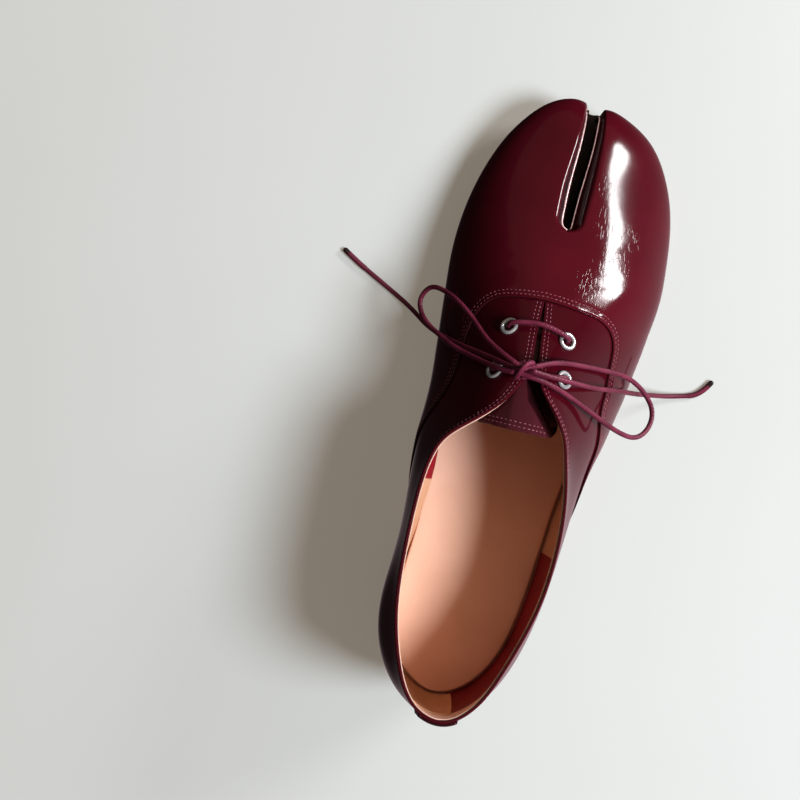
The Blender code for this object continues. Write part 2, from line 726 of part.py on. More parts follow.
def upper_patches(bm, rear_count=50, front_count=15, low_rows=7, high_rows=5, lip_rows=4, wall_rows=3):
    """Outer face of the upper: vamp in slot 0, quarters, lip and split walls in slot 1."""
    seam_ys = np.array([row[0] for row in SEAM[-7:-1]] + [158.0, 161.5, 163.5, 165.6])
    rear = np.linspace(SLIT_END["medial"], SLIT_END["lateral"], rear_count)
    extra = np.concatenate([station_at(side, seam_ys) for side in ("medial", "lateral")])
    starts = [station_at(side, SEAM[0][0]) for side in ("medial", "lateral")]
    rear = np.unique(np.concatenate([rear, extra, starts]))
    feet = rib_shape(rear)[:, 1]
    seam = np.where(feet < SEAM[0][0], 0, seam_share(feet))
    seam[0] = 1
    seam[-1] = 1
    vamp = dome(rear, seam[:, None] * np.linspace(0, 1, low_rows + 1))
    quarter = dome(rear, seam[:, None] + (1 - seam[:, None]) * np.linspace(0, 1, high_rows + 1))
    add_grid(bm, vamp, 0)
    add_grid(bm, quarter, 1)
    reach = float(slot_sizes(np.array([SLOT_ROOT])).sum())
    turns = np.radians([0, 15, 30, 45, 60, 75, 90])
    spine_tops = np.linspace(RIDGE[0][0], SLOT_ROOT - reach, 5)[:-1]
    root_tops = SLOT_ROOT - reach * np.cos(turns)
    for side in ("medial", "lateral"):
        spine = station_of_top(side, spine_tops)
        root = station_of_top(side, root_tops)
        front = np.linspace(root[-1], mouth_station(side), front_count)[1:]
        ribs = np.concatenate([spine, root, front])
        ends = lip_share(ribs)
        ends[:len(spine) + 1] = 1
        ends[-1] = 0
        vamp = dome(ribs, ends[:, None] * np.linspace(0, 1, low_rows + 1))
        split = split_rows(ribs[len(spine):], ends[len(spine):], side, lip_rows, wall_rows)
        if side == "medial":
            vamp = vamp[::-1]
            split = split[::-1]
        add_grid(bm, vamp, 0)
        add_grid(bm, split, 1)


def split_rows(ribs, ends, side, lip_rows, wall_rows):
    """Rows from the lip over the rounded edge and down the wall of the split."""
    lip_points = dome(ribs, ends)[:, 0]
    normals = dome_normal(ribs, np.clip(ends, 0.02, 0.98))[:, 0]
    toward = slot_distance(lip_points)[1]
    toward = np.column_stack([toward, np.zeros(len(toward))])
    toward[0] = (0, 1, 0)
    tangent = toward - normals * np.sum(toward * normals, axis=1)[:, None]
    tangent /= np.linalg.norm(tangent, axis=1)[:, None]
    half, lip = slot_sizes(lip_points[:, 1]).T
    rows = [lip_points]
    for turn in np.linspace(0, math.pi / 2, lip_rows + 1)[1:]:
        over = tangent * (lip * math.sin(turn))[:, None] - normals * (lip * (1 - math.cos(turn)))[:, None]
        point = lip_points + over
        point[:, 2] = np.maximum(point[:, 2], sole_top(point[:, 1]) + GAP)
        rows.append(point)
    edge = rows[-1]
    floor = edge.copy()
    floor[:, 2] = sole_top(edge[:, 1]) + GAP
    for share in np.linspace(0, 1, wall_rows + 1)[1:]:
        rows.append(edge + (floor - edge) * share)
    return np.stack(rows, axis=1)


def make_upper(material):
    """Hollow upper: a wall of even thickness, with the vamp standing above the quarters."""
    bm = bmesh.new()
    upper_patches(bm)
    bmesh.ops.remove_doubles(bm, verts=bm.verts, dist=WELD)
    bmesh.ops.dissolve_degenerate(bm, edges=bm.edges, dist=THIN)
    mesh = bpy.data.meshes.new("upper_skin")
    bm.to_mesh(mesh)
    bm.free()
    for _ in range(4):
        mesh.materials.append(material)
    skin = bpy.data.objects.new("upper_skin", mesh)
    SHOE.objects.link(skin)
    wall = skin.modifiers.new("wall", "SOLIDIFY")
    wall.thickness = WALL * MM
    wall.offset = -1
    wall.material_offset = 2
    wall.material_offset_rim = 2
    walled = bpy.data.meshes.new_from_object(skin.evaluated_get(bpy.context.evaluated_depsgraph_get()))
    bpy.data.objects.remove(skin)
    bm = bmesh.new()
    bm.from_mesh(walled)
    vamp = [face for face in bm.faces if face.material_index == 0]
    bm.normal_update()
    raised = bmesh.ops.extrude_face_region(bm, geom=vamp)["geom"]
    bmesh.ops.delete(bm, geom=vamp, context="FACES_ONLY")
    lifted = [item for item in raised if isinstance(item, bmesh.types.BMVert)]
    faces = [item for item in raised if isinstance(item, bmesh.types.BMFace)]
    ways = {}
    for vert in lifted:
        way = Vector((0, 0, 0))
        for face in vert.link_faces:
            if face in faces:
                way += face.normal * face.calc_area()
        way.z = max(way.z, 0)
        ways[vert] = way.normalized()
    for vert, way in ways.items():
        vert.co += way * VAMP_STEP * MM
    bmesh.ops.recalc_face_normals(bm, faces=bm.faces)
    for face in bm.faces:
        face.material_index = 0
    bm.to_mesh(walled)
    bm.free()
    walled.name = "upper"
    return finish_mesh("upper", walled, material, 35)


def on_upper(side, x, y):
    """Point and outward normal of the upper's outer face over a place in plan."""
    shares = np.linspace(0, 1, 2 * RIB_SAMPLES)
    aim = y
    for _ in range(4):
        station = station_at(side, aim)
        rib = dome(station, shares)[0]
        k = int(np.argmin(np.abs(rib[:, 0] - x)))
        aim += y - rib[k, 1]
    return rib[k], dome_normal(station, shares[k])[0, 0]


def facing_frame(name):
    """Place and direction of an eyelet."""
    point, normal = on_upper(name.split("_")[1], *EYELETS[name])
    turn = Vector(normal).to_track_quat("Z", "Y").to_matrix().to_4x4()
    return Matrix.Translation(place(point)) @ turn


def punch_upper(upper):
    """Holes for the eyelets."""
    bm = bmesh.new()
    for name in EYELETS:
        bmesh.ops.create_cone(
            bm, cap_ends=True, segments=EYELET_STEPS, radius1=EYELET_HOLE * MM, radius2=EYELET_HOLE * MM,
            depth=EYELET_CUT * MM, matrix=facing_frame(name),
        )
    mesh = bpy.data.meshes.new("eyelet_hole_cutter")
    bm.to_mesh(mesh)
    bm.free()
    cut(upper, add_cutter("eyelet_hole_cutter", mesh))


def make_eyelets(material):
    """Rolled metal rings, each turned from one profile."""
    for name in EYELETS:
        bm = bmesh.new()
        ring = [bm.verts.new((radius * MM, 0, height * MM)) for radius, height in EYELET_PROFILE]
        for a, b in zip(ring, ring[1:] + ring[:1]):
            bm.edges.new((a, b))
        mesh = bpy.data.meshes.new("eyelet_" + name)
        bm.to_mesh(mesh)
        bm.free()
        eyelet = finish_mesh("eyelet_" + name, mesh, material)
        eyelet.matrix_world = facing_frame(name)
        turned = eyelet.modifiers.new("turned", "SCREW")
        turned.axis = "Z"
        turned.steps = EYELET_STEPS
        turned.render_steps = EYELET_STEPS
        turned.use_merge_vertices = True
        turned.merge_threshold = THIN


def tongue_row(y):
    """Points across the tongue's outer face at a place along the foot, with their normals."""
    at = max(y, TONGUE_TOP)
    share = (y - TONGUE_END) / (TONGUE_FRONT - TONGUE_END)
    half = TONGUE_HALF_END + (TONGUE_HALF_FRONT - TONGUE_HALF_END) * share
    rows = []
    for side, way in (("medial", -1), ("lateral", 1)):
        across = TONGUE_MIDDLE + way * half * np.array(TONGUE_SHARES)
        found = [on_upper(side, x, at) for x in across]
        rows += found if way < 0 else found[::-1]
    points = np.array([p for p, _ in rows])
    normals = np.array([n for _, n in rows])
    points = points - normals * (WALL + TONGUE_CLEAR)
    points[:, 1] = y
    points[:, 2] += TONGUE_RISE * (at - y)
    past = np.clip((points[:, 0] - np.interp(y, *zip(*TONGUE_FOLD))) / FOLD_RUN, 0, 1)
    fade = np.interp(y, FOLD_FADE, (1.0, 0.0))
    points[:, 2] -= FOLD_DROP * fade * past**2 * (3 - 2 * past)
    normals = np.cross(np.gradient(points, axis=0), (0.0, 1.0, 0.0))
    return points, normals / np.linalg.norm(normals, axis=1)[:, None]


def make_tongue(material):
    """Tongue under the facings, with a straight end behind the slit."""
    sections = []
    for y in np.concatenate([[TONGUE_END, 122.0, 128.0, 133.0], np.linspace(TONGUE_TOP, TONGUE_FRONT, 6)]):
        points, normals = tongue_row(y)
        below = points - normals * TONGUE_THICK
        sections.append(list(points) + list(below[::-1]))
    return section_loft("tongue", sections, material, 40)


def make_heel_tab(material):
    """Strip over the top of the back seam, a little outside the upper's own face."""
    ribs = np.linspace(HEEL_STATION - TAB_WIDTH / 2, HEEL_STATION + TAB_WIDTH / 2, 9)
    shares = np.linspace(TAB_FROM, 1, 4)
    grid = np.tile(shares, (len(ribs), 1))
    face = dome(ribs, grid)
    normal = dome_normal(ribs, grid)
    inner = face + normal * GAP
    outer = face + normal * (GAP + TAB_THICK)
    sections = [list(a) + list(b[::-1]) for a, b in zip(inner, outer)]
    return section_loft("heel_tab", sections, material, 40)


def bar_route(start, end, between):
    """Points of a bar that rises out of one eyelet and goes down into another."""

    def rise(name, toward):
        point, normal = on_upper(name.split("_")[1], *EYELETS[name])
        along = np.array(toward) - point
        along -= normal * np.dot(along, normal)
        along /= np.linalg.norm(along)
        return [point + along * out + normal * up for out, up in BAR_RISE]

    return rise(start, between[0]) + between + rise(end, between[-1])[::-1]


def route_curve(name, points, radius, step, material):
    """Round cord along a smooth curve through its points."""
    points = np.array(points)
    run = np.concatenate(([0.0], np.cumsum(np.linalg.norm(np.diff(points, axis=0), axis=1))))
    count = max(2, int(round(run[-1] / step)) + 1)
    path = natural_spline(run, points)(np.linspace(0, run[-1], count))
    curve = bpy.data.curves.new(name, "CURVE")
    curve.dimensions = "3D"
    curve.bevel_depth = radius * MM
    curve.bevel_resolution = 2
    curve.use_fill_caps = True
    spline = curve.splines.new("POLY")
    spline.points.add(count - 1)
    for point, at in zip(spline.points, path):
        point.co = (*place(at), 1)
    curve.materials.append(material)
    SHOE.objects.link(bpy.data.objects.new(name, curve))


def make_lace(cord_material, tip_material):
    """Bars, bow, ends, tips and the knot between them."""
    for name, (start, end, between) in BARS.items():
        route_curve(name, bar_route(start, end, between), LACE_RADIUS, BAR_STEP, cord_material)
    for name, points in LACE.items():
        route_curve(name, points, LACE_RADIUS, LACE_STEP, cord_material)
    for name, points in LACE_TIPS.items():
        route_curve(name, points, TIP_RADIUS, LACE_STEP, tip_material)
    bm = bmesh.new()
    size = Matrix.Diagonal([axis * MM for axis in KNOT_SIZE] + [1])
    bmesh.ops.create_uvsphere(
        bm, u_segments=12, v_segments=8, radius=1, matrix=Matrix.Translation(place(KNOT_CENTRE)) @ size
    )
    mesh = bpy.data.meshes.new("lace_knot")
    bm.to_mesh(mesh)
    bm.free()
    finish_mesh("lace_knot", mesh, cord_material)


def scene_collection(name):
    """New collection in the scene."""
    collection = bpy.data.collections.new(name)
    bpy.context.scene.collection.children.link(collection)
    return collection


for old in list(bpy.data.objects):
    bpy.data.objects.remove(old)
SHOE = scene_collection("split_toe_shoe")
CUTTERS = scene_collection("cutters")

make_outsole(leather("sole_leather", (0.55, 0.33, 0.26), 0.5))
make_heel(leather("heel_stack", (0.12, 0.03, 0.03), 0.3), leather("lift_rubber", (0.03, 0.025, 0.025), 0.7))
make_insole(leather("insole_leather", (0.62, 0.36, 0.2), 0.55))
patent = leather("patent_burgundy", (0.17, 0.01, 0.03), 0.12)
punch_upper(make_upper(patent))
make_tongue(leather("tongue_leather", (0.15, 0.01, 0.03), 0.2))
make_heel_tab(leather("heel_tab_leather", (0.1, 0.01, 0.02), 0.25))
make_eyelets(leather("eyelet_metal", (0.75, 0.75, 0.76), 0.25, 1.0))
make_lace(leather("lace_cord", (0.22, 0.02, 0.06), 0.45), leather("lace_tips", (0.03, 0.01, 0.012), 0.4))
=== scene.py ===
"""Looks of a low split toe lace-up, right shoe: patent upper, lining, sole, heel, eyelets and lace.

Table lengths are millimetres. +Y points to the toe, +X to the outer (lateral) side, +Z up.
The tables count Y from the back of the heel and X from the heel's line, and MIDDLE is the
point of that plan that lies over the origin.
"""
import math

import bmesh
import bpy
import numpy as np
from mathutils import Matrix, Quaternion, Vector
from mathutils.bvhtree import BVHTree
from mathutils.kdtree import KDTree


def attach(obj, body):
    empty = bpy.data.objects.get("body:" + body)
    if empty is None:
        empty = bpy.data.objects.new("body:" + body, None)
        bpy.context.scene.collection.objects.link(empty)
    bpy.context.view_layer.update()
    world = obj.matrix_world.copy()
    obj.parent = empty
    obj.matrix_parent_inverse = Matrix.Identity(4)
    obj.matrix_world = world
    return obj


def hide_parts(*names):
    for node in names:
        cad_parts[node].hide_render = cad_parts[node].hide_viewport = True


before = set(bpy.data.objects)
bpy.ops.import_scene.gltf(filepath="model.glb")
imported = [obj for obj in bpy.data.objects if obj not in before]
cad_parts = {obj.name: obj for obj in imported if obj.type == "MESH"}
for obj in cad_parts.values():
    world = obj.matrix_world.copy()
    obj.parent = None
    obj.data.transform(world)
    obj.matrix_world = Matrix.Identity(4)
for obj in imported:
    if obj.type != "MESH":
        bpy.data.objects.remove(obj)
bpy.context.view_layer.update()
BODY = "root"

MM = 0.001
GAP = 0.05
MIDDLE = (8.11, 129.37)
WELD = 1e-6
TINY = 1e-9
TINY_PLAN = 1e-6
SMALL_STEP = 0.05
SIDE_SAMPLES = 2000
RIB_SAMPLES = 400
LENGTH_SAMPLES = 60
TOE_SAMPLES = 500
EDGE_SAMPLES = 700
PLACE_ROUNDS = 4
SIDES = ("medial", "lateral")

# Shares of a rib's height: ends where the outward normal is read, the lowest one searched, and a step
SHARE_RANGE = (0.004, 0.996)
LINING_RANGE = (0.01, 0.99)
LIP_RANGE = (0.02, 0.98)
TOP_SHARE = 0.99
LOWEST_SHARE = 0.3
SHARE_STEP = 0.01

# Angles up to which neighbouring faces shade smooth, in degrees
SHARP_SMOOTH = 30
EDGE_SMOOTH = 40
STRIP_SMOOTH = 45
LEATHER_SMOOTH = 50
SOFT_SMOOTH = 60

# Camera: straight above the shoe, rolled
CAMERA_PLAN = (-43.1, 118.7)
CAMERA_HEIGHT = 490.0
CAMERA_ROLL = 13.54
FOCAL_PIXELS = 1133.0
IMAGE_PIXELS = 800.0
SENSOR = 36.0
FAR_CLIP = 50.0

# Sole and heel
SOLE_THICK = 4.0
HEEL_RISE = 18.0
TOE_SPRING = 8.5
SPRING_POWER = 1.8
BALL_BACK = 163.0
BALL_FRONT = 187.0
SEAT_FRONT = 36.0
ARCH_POWER = 1.2
SHOE_LENGTH = 258.0
SOLE_EDGE = 0.9
SOLE_ROUND = 0.9
HEEL_EDGE = 0.5
HEEL_BREAST = 62.0
HEEL_TAPER = 2.6
LIFT_THICK = 5.0
HEEL_LAYERS = 4
INSOLE_THICK = 2.6
INSOLE_INSET = 2.6
INSOLE_ROUND = 0.7
INSOLE_NOTCH = 3.0
TIP_CLEAR = 0.15
TOE_DIP_RADIUS = 5.0
TOE_DIP_DEPTH = 3.4
TOE_DIP_STEPS = 48
CUT_LOW = -5.0
CUT_HIGH = 40.0
SOLE_SECTIONS = 150
SOLE_ACROSS = 12
INSOLE_SECTIONS = 110
INSOLE_ACROSS = 24
CORNER_STEPS = 4
ROUND_WIDE = 0.3
ROUND_TALL = 0.45
HEEL_STEPS = 40

# Sole's floor in the split, painted dark as shade this far round it where it faces up
SPLIT_SHADE_REACH = 8
FACES_UP = 0.9

# Edge of one layer of the heel, with a groove at each joint, and of the lift
HEEL_GROOVE = 0.12
LAYER_EDGE = [
    # share of the layer's height, inset
    (0.0, HEEL_GROOVE),
    (0.05, 0.02),
    (0.5, 0.0),
    (0.95, 0.02),
    (1.0, HEEL_GROOVE),
]
LIFT_EDGE = [
    # height, inset
    (0.0, 0.6),
    (0.15, 0.2),
    (0.6, 0.0),
    (LIFT_THICK - 0.2, 0.0),
    (LIFT_THICK, 0.15),
]
LIFT_TAPER = 1.2
LIFT_TAPER_LOSS = 0.2

# Upper: layers from the outer face inwards
WALL = 1.6
VAMP_STEP = 0.8
VAMP_THICK = 0.75
QUARTER_THICK = 1.2
LINING_THICK = 0.4
UNDERLAP = 7.0
SEAM_RUN = 60.0
TURN_RUN = 25.0

# Ribs of the upper behind the end of the lacing slit, from its inner side round the heel to its
# outer side. The foot is on the feather line, bulge and rise shape the rib above the sole,
# reach and drop shape it below its top, and the top is on the collar or the slit.
REAR_RIBS = [
    # foot_x, foot_y, bulge, rise, reach, drop, top_x, top_y, top_z
    (-32.6, 169.5, 10.0, 14.0, 20.0, 0.0, 2.8, 169.5, 48.7),
    (-31.8, 160.0, 10.0, 14.0, 19.0, 0.0, 2.2, 160.0, 53.4),
    (-31.0, 150.0, 10.0, 14.0, 18.0, 0.0, 2.2, 150.0, 58.5),
    (-30.2, 142.0, 10.5, 14.0, 16.5, 0.5, 1.6, 142.0, 62.6),
    (-29.6, 135.5, 10.5, 14.0, 14.5, 2.0, -0.6, 135.5, 65.2),
    (-29.0, 128.5, 10.8, 14.0, 12.0, 4.5, -4.4, 128.5, 65.2),
    (-28.5, 120.0, 11.0, 14.0, 8.5, 9.0, -12.6, 120.0, 63.0),
    (-28.0, 111.0, 10.8, 14.0, 4.8, 13.5, -22.4, 111.0, 61.2),
    (-27.4, 100.0, 10.0, 14.0, 2.5, 16.5, -27.4, 100.0, 60.6),
    (-26.8, 85.0, 8.5, 14.0, 1.8, 17.0, -28.9, 85.0, 61.0),
    (-26.8, 70.0, 7.0, 13.8, 1.6, 17.0, -28.9, 70.0, 61.8),
    (-27.8, 55.0, 6.8, 13.5, 2.2, 17.0, -28.2, 55.0, 63.0),
    (-28.4, 41.0, 7.8, 13.5, 3.0, 17.0, -26.4, 41.0, 64.6),
    (-26.4, 26.0, 8.0, 14.0, 3.4, 17.5, -22.2, 26.0, 67.0),
    (-20.6, 13.8, 6.8, 14.0, 3.0, 18.0, -16.2, 13.6, 69.2),
    (-12.2, 6.2, 6.0, 14.0, 2.4, 18.0, -9.6, 7.6, 70.6),
    (-1.5, 3.2, 6.0, 14.0, 2.0, 18.0, -1.8, 5.6, 71.0),
    (8.8, 6.8, 5.6, 14.0, 2.4, 18.0, 5.6, 8.2, 70.6),
    (16.6, 14.4, 6.2, 14.0, 2.8, 18.0, 12.2, 15.2, 69.4),
    (23.0, 26.6, 6.8, 14.0, 3.0, 17.5, 18.0, 27.0, 67.4),
    (26.6, 41.0, 7.0, 13.5, 2.6, 17.0, 23.0, 41.0, 65.3),
    (28.6, 55.0, 7.2, 13.5, 2.0, 17.0, 26.7, 55.0, 63.4),
    (30.2, 70.0, 7.6, 13.8, 1.6, 17.0, 28.5, 70.0, 62.0),
    (31.8, 85.0, 8.6, 14.0, 1.8, 17.0, 28.6, 85.0, 61.0),
    (34.2, 100.0, 9.8, 14.0, 2.5, 16.5, 26.7, 100.0, 60.6),
    (36.8, 111.0, 10.4, 14.0, 4.8, 13.5, 23.9, 111.0, 61.0),
    (39.4, 120.0, 10.8, 14.0, 8.5, 9.0, 20.4, 120.0, 62.2),
    (42.0, 128.5, 11.0, 14.0, 12.0, 4.5, 13.8, 128.5, 64.6),
    (44.0, 135.5, 11.0, 14.0, 15.0, 2.0, 7.6, 135.5, 65.2),
    (45.4, 142.0, 11.0, 14.0, 18.0, 0.5, 5.2, 142.0, 62.6),
    (46.6, 150.0, 11.0, 14.0, 20.0, 0.0, 4.2, 150.0, 58.5),
    (47.8, 160.0, 11.0, 14.2, 26.0, 0.0, 3.6, 160.0, 53.4),
    (48.6, 169.5, 11.0, 15.0, 31.0, 0.0, 2.8, 169.5, 48.7),
]

# Ribs in front of the slit; top is a station along the ridge.
TOE_RIBS = {
    # foot_x, foot_y, bulge, rise, reach, drop, top
    "medial": [
        (-33.6, 184.0, 10.3, 13.5, 21.0, 0.0, 184.0),
        (-33.4, 197.0, 10.0, 12.5, 21.0, 0.0, 197.0),
        (-31.6, 211.0, 9.5, 11.5, 20.0, 0.0, 210.0),
        (-28.2, 224.0, 9.0, 11.0, 18.5, 0.0, 221.0),
        (-23.4, 235.6, 8.5, 10.5, 16.5, 0.0, 230.0),
        (-17.0, 245.2, 8.0, 10.0, 14.0, 0.0, 238.0),
        (-9.8, 251.8, 7.5, 9.5, 11.0, 0.0, 245.5),
        (-2.6, 254.6, 6.5, 8.0, 7.5, 0.0, 252.5),
        (3.0, 255.0, 4.0, 5.0, 4.0, 0.0, 258.5),
        (7.6, 254.8, 0.0, 0.0, 0.0, 0.0, 264.0),
    ],
    "lateral": [
        (49.6, 184.0, 11.0, 15.6, 35.0, 0.0, 184.0),
        (49.8, 197.0, 10.5, 13.2, 31.0, 0.0, 197.0),
        (49.0, 211.3, 10.0, 11.6, 22.5, 0.0, 210.0),
        (46.2, 224.6, 9.5, 10.0, 13.5, 0.0, 221.0),
        (40.9, 236.2, 9.0, 8.0, 8.5, 0.0, 230.0),
        (33.5, 245.2, 8.5, 7.8, 6.5, 0.0, 238.0),
        (25.2, 250.0, 7.5, 8.4, 7.0, 0.0, 245.5),
        (17.6, 252.2, 6.5, 8.0, 7.0, 0.0, 252.5),
        (12.2, 253.7, 4.0, 5.0, 4.5, 0.0, 258.5),
        (7.6, 254.8, 0.0, 0.0, 0.0, 0.0, 264.0),
    ],
}

# Ridge of the vamp from the end of the slit to the nose
RIDGE = [
    # y, x, z
    (169.5, 2.8, 48.7),
    (186.0, 4.8, 42.2),
    (203.0, 6.3, 36.8),
    (219.0, 6.9, 32.8),
    (235.0, 7.7, 28.8),
]
NOSE_START = 235.0
NOSE_RUN = 29.0
NOSE_FULL = 4.0
NOSE_AHEAD = 0.5
NOSE_DROP = 0.55

# Split between the toes
SLOT = [
    # y, centre_x, half_width, lip
    (199.0, 6.3, 2.6, 3.5),
    (210.0, 6.5, 2.9, 3.7),
    (220.0, 6.9, 3.2, 3.7),
    (230.0, 7.5, 3.3, 3.1),
    (240.0, 7.9, 3.2, 2.5),
    (258.0, 7.5, 2.4, 1.9),
]
SLOT_ROOT = 205.4
SLOT_BEYOND = 12
SLOT_STEPS = 24
SLOT_ROOT_STEPS = 17

# Front edge of the quarters under the vamp: place along the foot, share of the rib's height
SEAM = [
    # y, share
    (72.0, 0.0),
    (85.0, 0.22),
    (103.0, 0.37),
    (123.0, 0.47),
    (140.0, 0.51),
    (153.0, 0.55),
    (160.0, 0.595),
    (164.5, 0.65),
    (167.2, 0.72),
    (168.4, 0.81),
    (169.0, 0.9),
    (169.5, 1.0),
]

# Eyelets on the facings
EYELETS = {
    # x, y
    "front_medial": (-8.6, 156.2),
    "front_lateral": (14.2, 155.6),
    "rear_medial": (-10.6, 138.2),
    "rear_lateral": (15.6, 140.6),
}
# Barrel: inner radius, outer radius, foot. Roll: middle radius, height, radius of the roll itself.
EYELET_BARREL = (2.0, 2.35, -1.1)
EYELET_ROLL = (2.85, 0.5, 0.8)
EYELET_THROAT = 0.4
EYELET_TUCK = (0.12, 0.18)
EYELET_UNDER = 0.2
EYELET_STEPS = 64
EYELET_ROLL_STEPS = 15

# Tongue: its end behind the slit, its front under the vamp, and half widths there. Its outer side
# folds down along a line, by a drop reached over a run, and the fold fades out under the facings.
TONGUE_END = 117.6
TONGUE_TOP = 139.0
TONGUE_MIDDLE = 3.2
TONGUE_FRONT = 176.0
TONGUE_HALF_END = 17.5
TONGUE_HALF_FRONT = 20.0
TONGUE_RISE = 0.2
TONGUE_CLEAR = 1.0
TONGUE_THICK = 1.5
TONGUE_SHARES = (1.0, 0.8, 0.6, 0.4, 0.2)
TONGUE_BEND = 128.0
TONGUE_EDGE = (0.3, 0.9)
TONGUE_ROUND = 0.45
TONGUE_STATIONS = 6
TONGUE_ROWS = 70
TONGUE_ACROSS = 60
TONGUE_SAMPLES = 400
FOLD_COLUMN = 40
FOLD_CORNER = 4.5
CORNER_RUN = 14.0
TONGUE_FOLD = [
    # y, x
    (117.8, 14.7),
    (120.8, 12.1),
    (125.9, 7.1),
    (130.2, 3.1),
    (137.1, 1.0),
]
FOLD_DROP = 9.0
FOLD_RUN = 5.5
FOLD_FADE = (138.0, 146.0)
FOLD_EDGE = 0.8

# Heel tab: width round the collar, share of the rib where it begins, thickness, and its thinner rim
TAB_WIDTH = 21.0
TAB_FROM = 0.8
TAB_THICK = 1.1
TAB_RIM = 0.35
TAB_ROUND = 0.7
TAB_SINK = 0.1
TAB_RIBS = 33
TAB_ROWS = 22

# Lace: tips bend on from their cords and are dark over their last millimetres. Steps are the
# distances between the points of each kind of cord.
LACE_RADIUS = 1.0
BAR_STEP = 0.5
KNOT_STEP = 0.4
TIP_STEP = 0.5
FREE_STEP = 0.7
CORD_SIDES = 20
CORD_CAP_ROWS = 4
UPRIGHT = 0.1
STRANDS = 5
BRAID_PITCH = 1.6
BRAID_DEPTH = 0.05
TIP_RADIUS = 1.15
TIP_BEND = 0.45
TIP_STEPS = 7
TIP_DARK = 2.4
KNOT_CENTRE = (-0.8, 140.3, 68.9)
BAR_RISE = [
    # along the leather, above it
    (0.0, -1.2),
    (0.0, 0.1),
    (0.1, 1.3),
    (1.2, 2.4),
    (3.0, 2.65),
]
BARS = {
    # eyelet, eyelet, points between
    "lace_bar_front": (
        "front_medial",
        "front_lateral",
        [(-3.1, 159.0, 55.8), (2.3, 159.5, 56.6), (7.6, 158.8, 56.6)],
    ),
    "lace_bar_rear": (
        "rear_medial",
        "rear_lateral",
        [(-4.6, 138.9, 64.2), (0.0, 139.4, 65.3), (4.2, 139.8, 65.6), (8.4, 140.1, 65.1)],
    ),
}
LACE = {
    # x, y, z
    "lace_loop_medial": [
        (-5.0, 142.3, 69.2),
        (-10.7, 145.2, 65.0),
        (-16.7, 149.4, 58.6),
        (-22.5, 155.5, 51.0),
        (-29.5, 161.7, 43.0),
        (-36.7, 165.7, 35.0),
        (-42.1, 165.7, 30.0),
        (-44.5, 161.1, 28.0),
        (-42.0, 154.0, 31.0),
        (-35.5, 148.5, 38.0),
        (-27.0, 143.9, 47.0),
        (-16.1, 140.5, 58.0),
        (-8.8, 138.8, 66.2),
        (-4.8, 138.6, 69.4),
    ],
    "lace_end_medial": [
        (-5.0, 140.4, 66.9),
        (-9.6, 141.6, 62.6),
        (-17.6, 143.6, 53.0),
        (-26.2, 145.8, 41.6),
        (-34.6, 148.9, 28.0),
        (-41.6, 153.4, 12.5),
        (-49.0, 158.9, 3.4),
        (-61.0, 165.4, 1.2),
        (-71.1, 170.5, 1.2),
    ],
    "lace_loop_lateral": [
        (3.4, 142.8, 69.2),
        (7.6, 144.8, 66.8),
        (13.3, 146.6, 62.0),
        (21.9, 147.8, 54.6),
        (32.3, 148.6, 46.2),
        (43.9, 148.3, 37.0),
        (52.3, 144.6, 31.0),
        (57.7, 138.0, 29.0),
        (57.2, 131.2, 31.0),
        (52.9, 126.5, 35.0),
        (46.6, 126.0, 40.4),
        (36.8, 128.5, 48.6),
        (25.1, 132.7, 56.8),
        (15.0, 136.0, 64.2),
        (8.0, 137.6, 68.4),
        (3.6, 138.2, 69.6),
    ],
    "lace_end_lateral": [
        (2.8, 140.5, 71.4),
        (8.8, 140.2, 69.2),
        (16.0, 140.2, 65.4),
        (27.0, 140.5, 56.2),
        (39.1, 142.2, 42.6),
        (49.4, 143.6, 26.4),
        (60.6, 145.6, 11.0),
        (69.0, 147.3, 3.2),
        (77.3, 149.5, 1.2),
    ],
}
LACE_TIPS = {
    # start, end
    "lace_tip_medial": ((-71.1, 170.5, 1.2), (-81.0, 176.1, 1.2)),
    "lace_tip_lateral": ((77.3, 149.5, 1.2), (85.6, 157.2, 1.2)),
}

# Strands of the knot, round its centre: a wrapping turn, the bow's sides, the ends and a turn below
KNOT_STRANDS = [
    # x, y, z from the knot's centre
    [(2.6, 2.9, -1.6), (2.3, 3.3, 0.4), (0.6, 2.6, 2.2), (-1.0, 0.4, 2.7), (-2.0, -2.0, 1.9),
     (-2.4, -3.2, 0.0), (-1.8, -3.0, -1.7)],
    [(-4.3, 2.0, 0.2), (-2.4, 1.2, 0.9), (0.2, 0.6, 0.8), (2.4, 1.6, 0.5), (4.2, 2.5, 0.3)],
    [(-4.0, -1.6, 0.5), (-2.0, -1.5, 0.2), (0.6, -1.6, 0.3), (2.6, -1.9, 0.6), (4.4, -2.1, 0.7)],
    [(-4.2, 0.1, -2.0), (-1.8, 0.3, -1.2), (0.8, 0.2, -0.2), (2.4, 0.2, 1.4), (3.6, 0.2, 2.5)],
    [(-2.8, 1.6, -2.2), (-0.6, 2.4, -1.6), (1.6, 1.2, -1.4), (2.2, -1.4, -1.6), (0.4, -2.6, -1.9)],
]

# Rolled lip of the split, from the vamp's face to the wall, in shares of the lip's width
LIP_PROFILE = [
    # towards the split, below the vamp
    (0.0, 0.0),
    (0.13, 0.012),
    (0.25, 0.06),
    (0.36, 0.15),
    (0.5, 0.33),
    (0.7, 0.66),
    (0.88, 0.98),
    (1.0, 1.25),
]
LIP_ROWS = 16
WALL_ROWS = 5

# Rows of the lip, counted from the vamp's face: where the bead lies and where the painted shade inside the
# split begins
BEAD_ROW = {"medial": 12, "lateral": 16}
LIP_SHADE_FROM = {"medial": 7, "lateral": 16}
BEAD_RADIUS = 0.36
BEAD_CLEAR = 3.0
BEAD_STEP = 0.6
BEAD_SIDES = 12

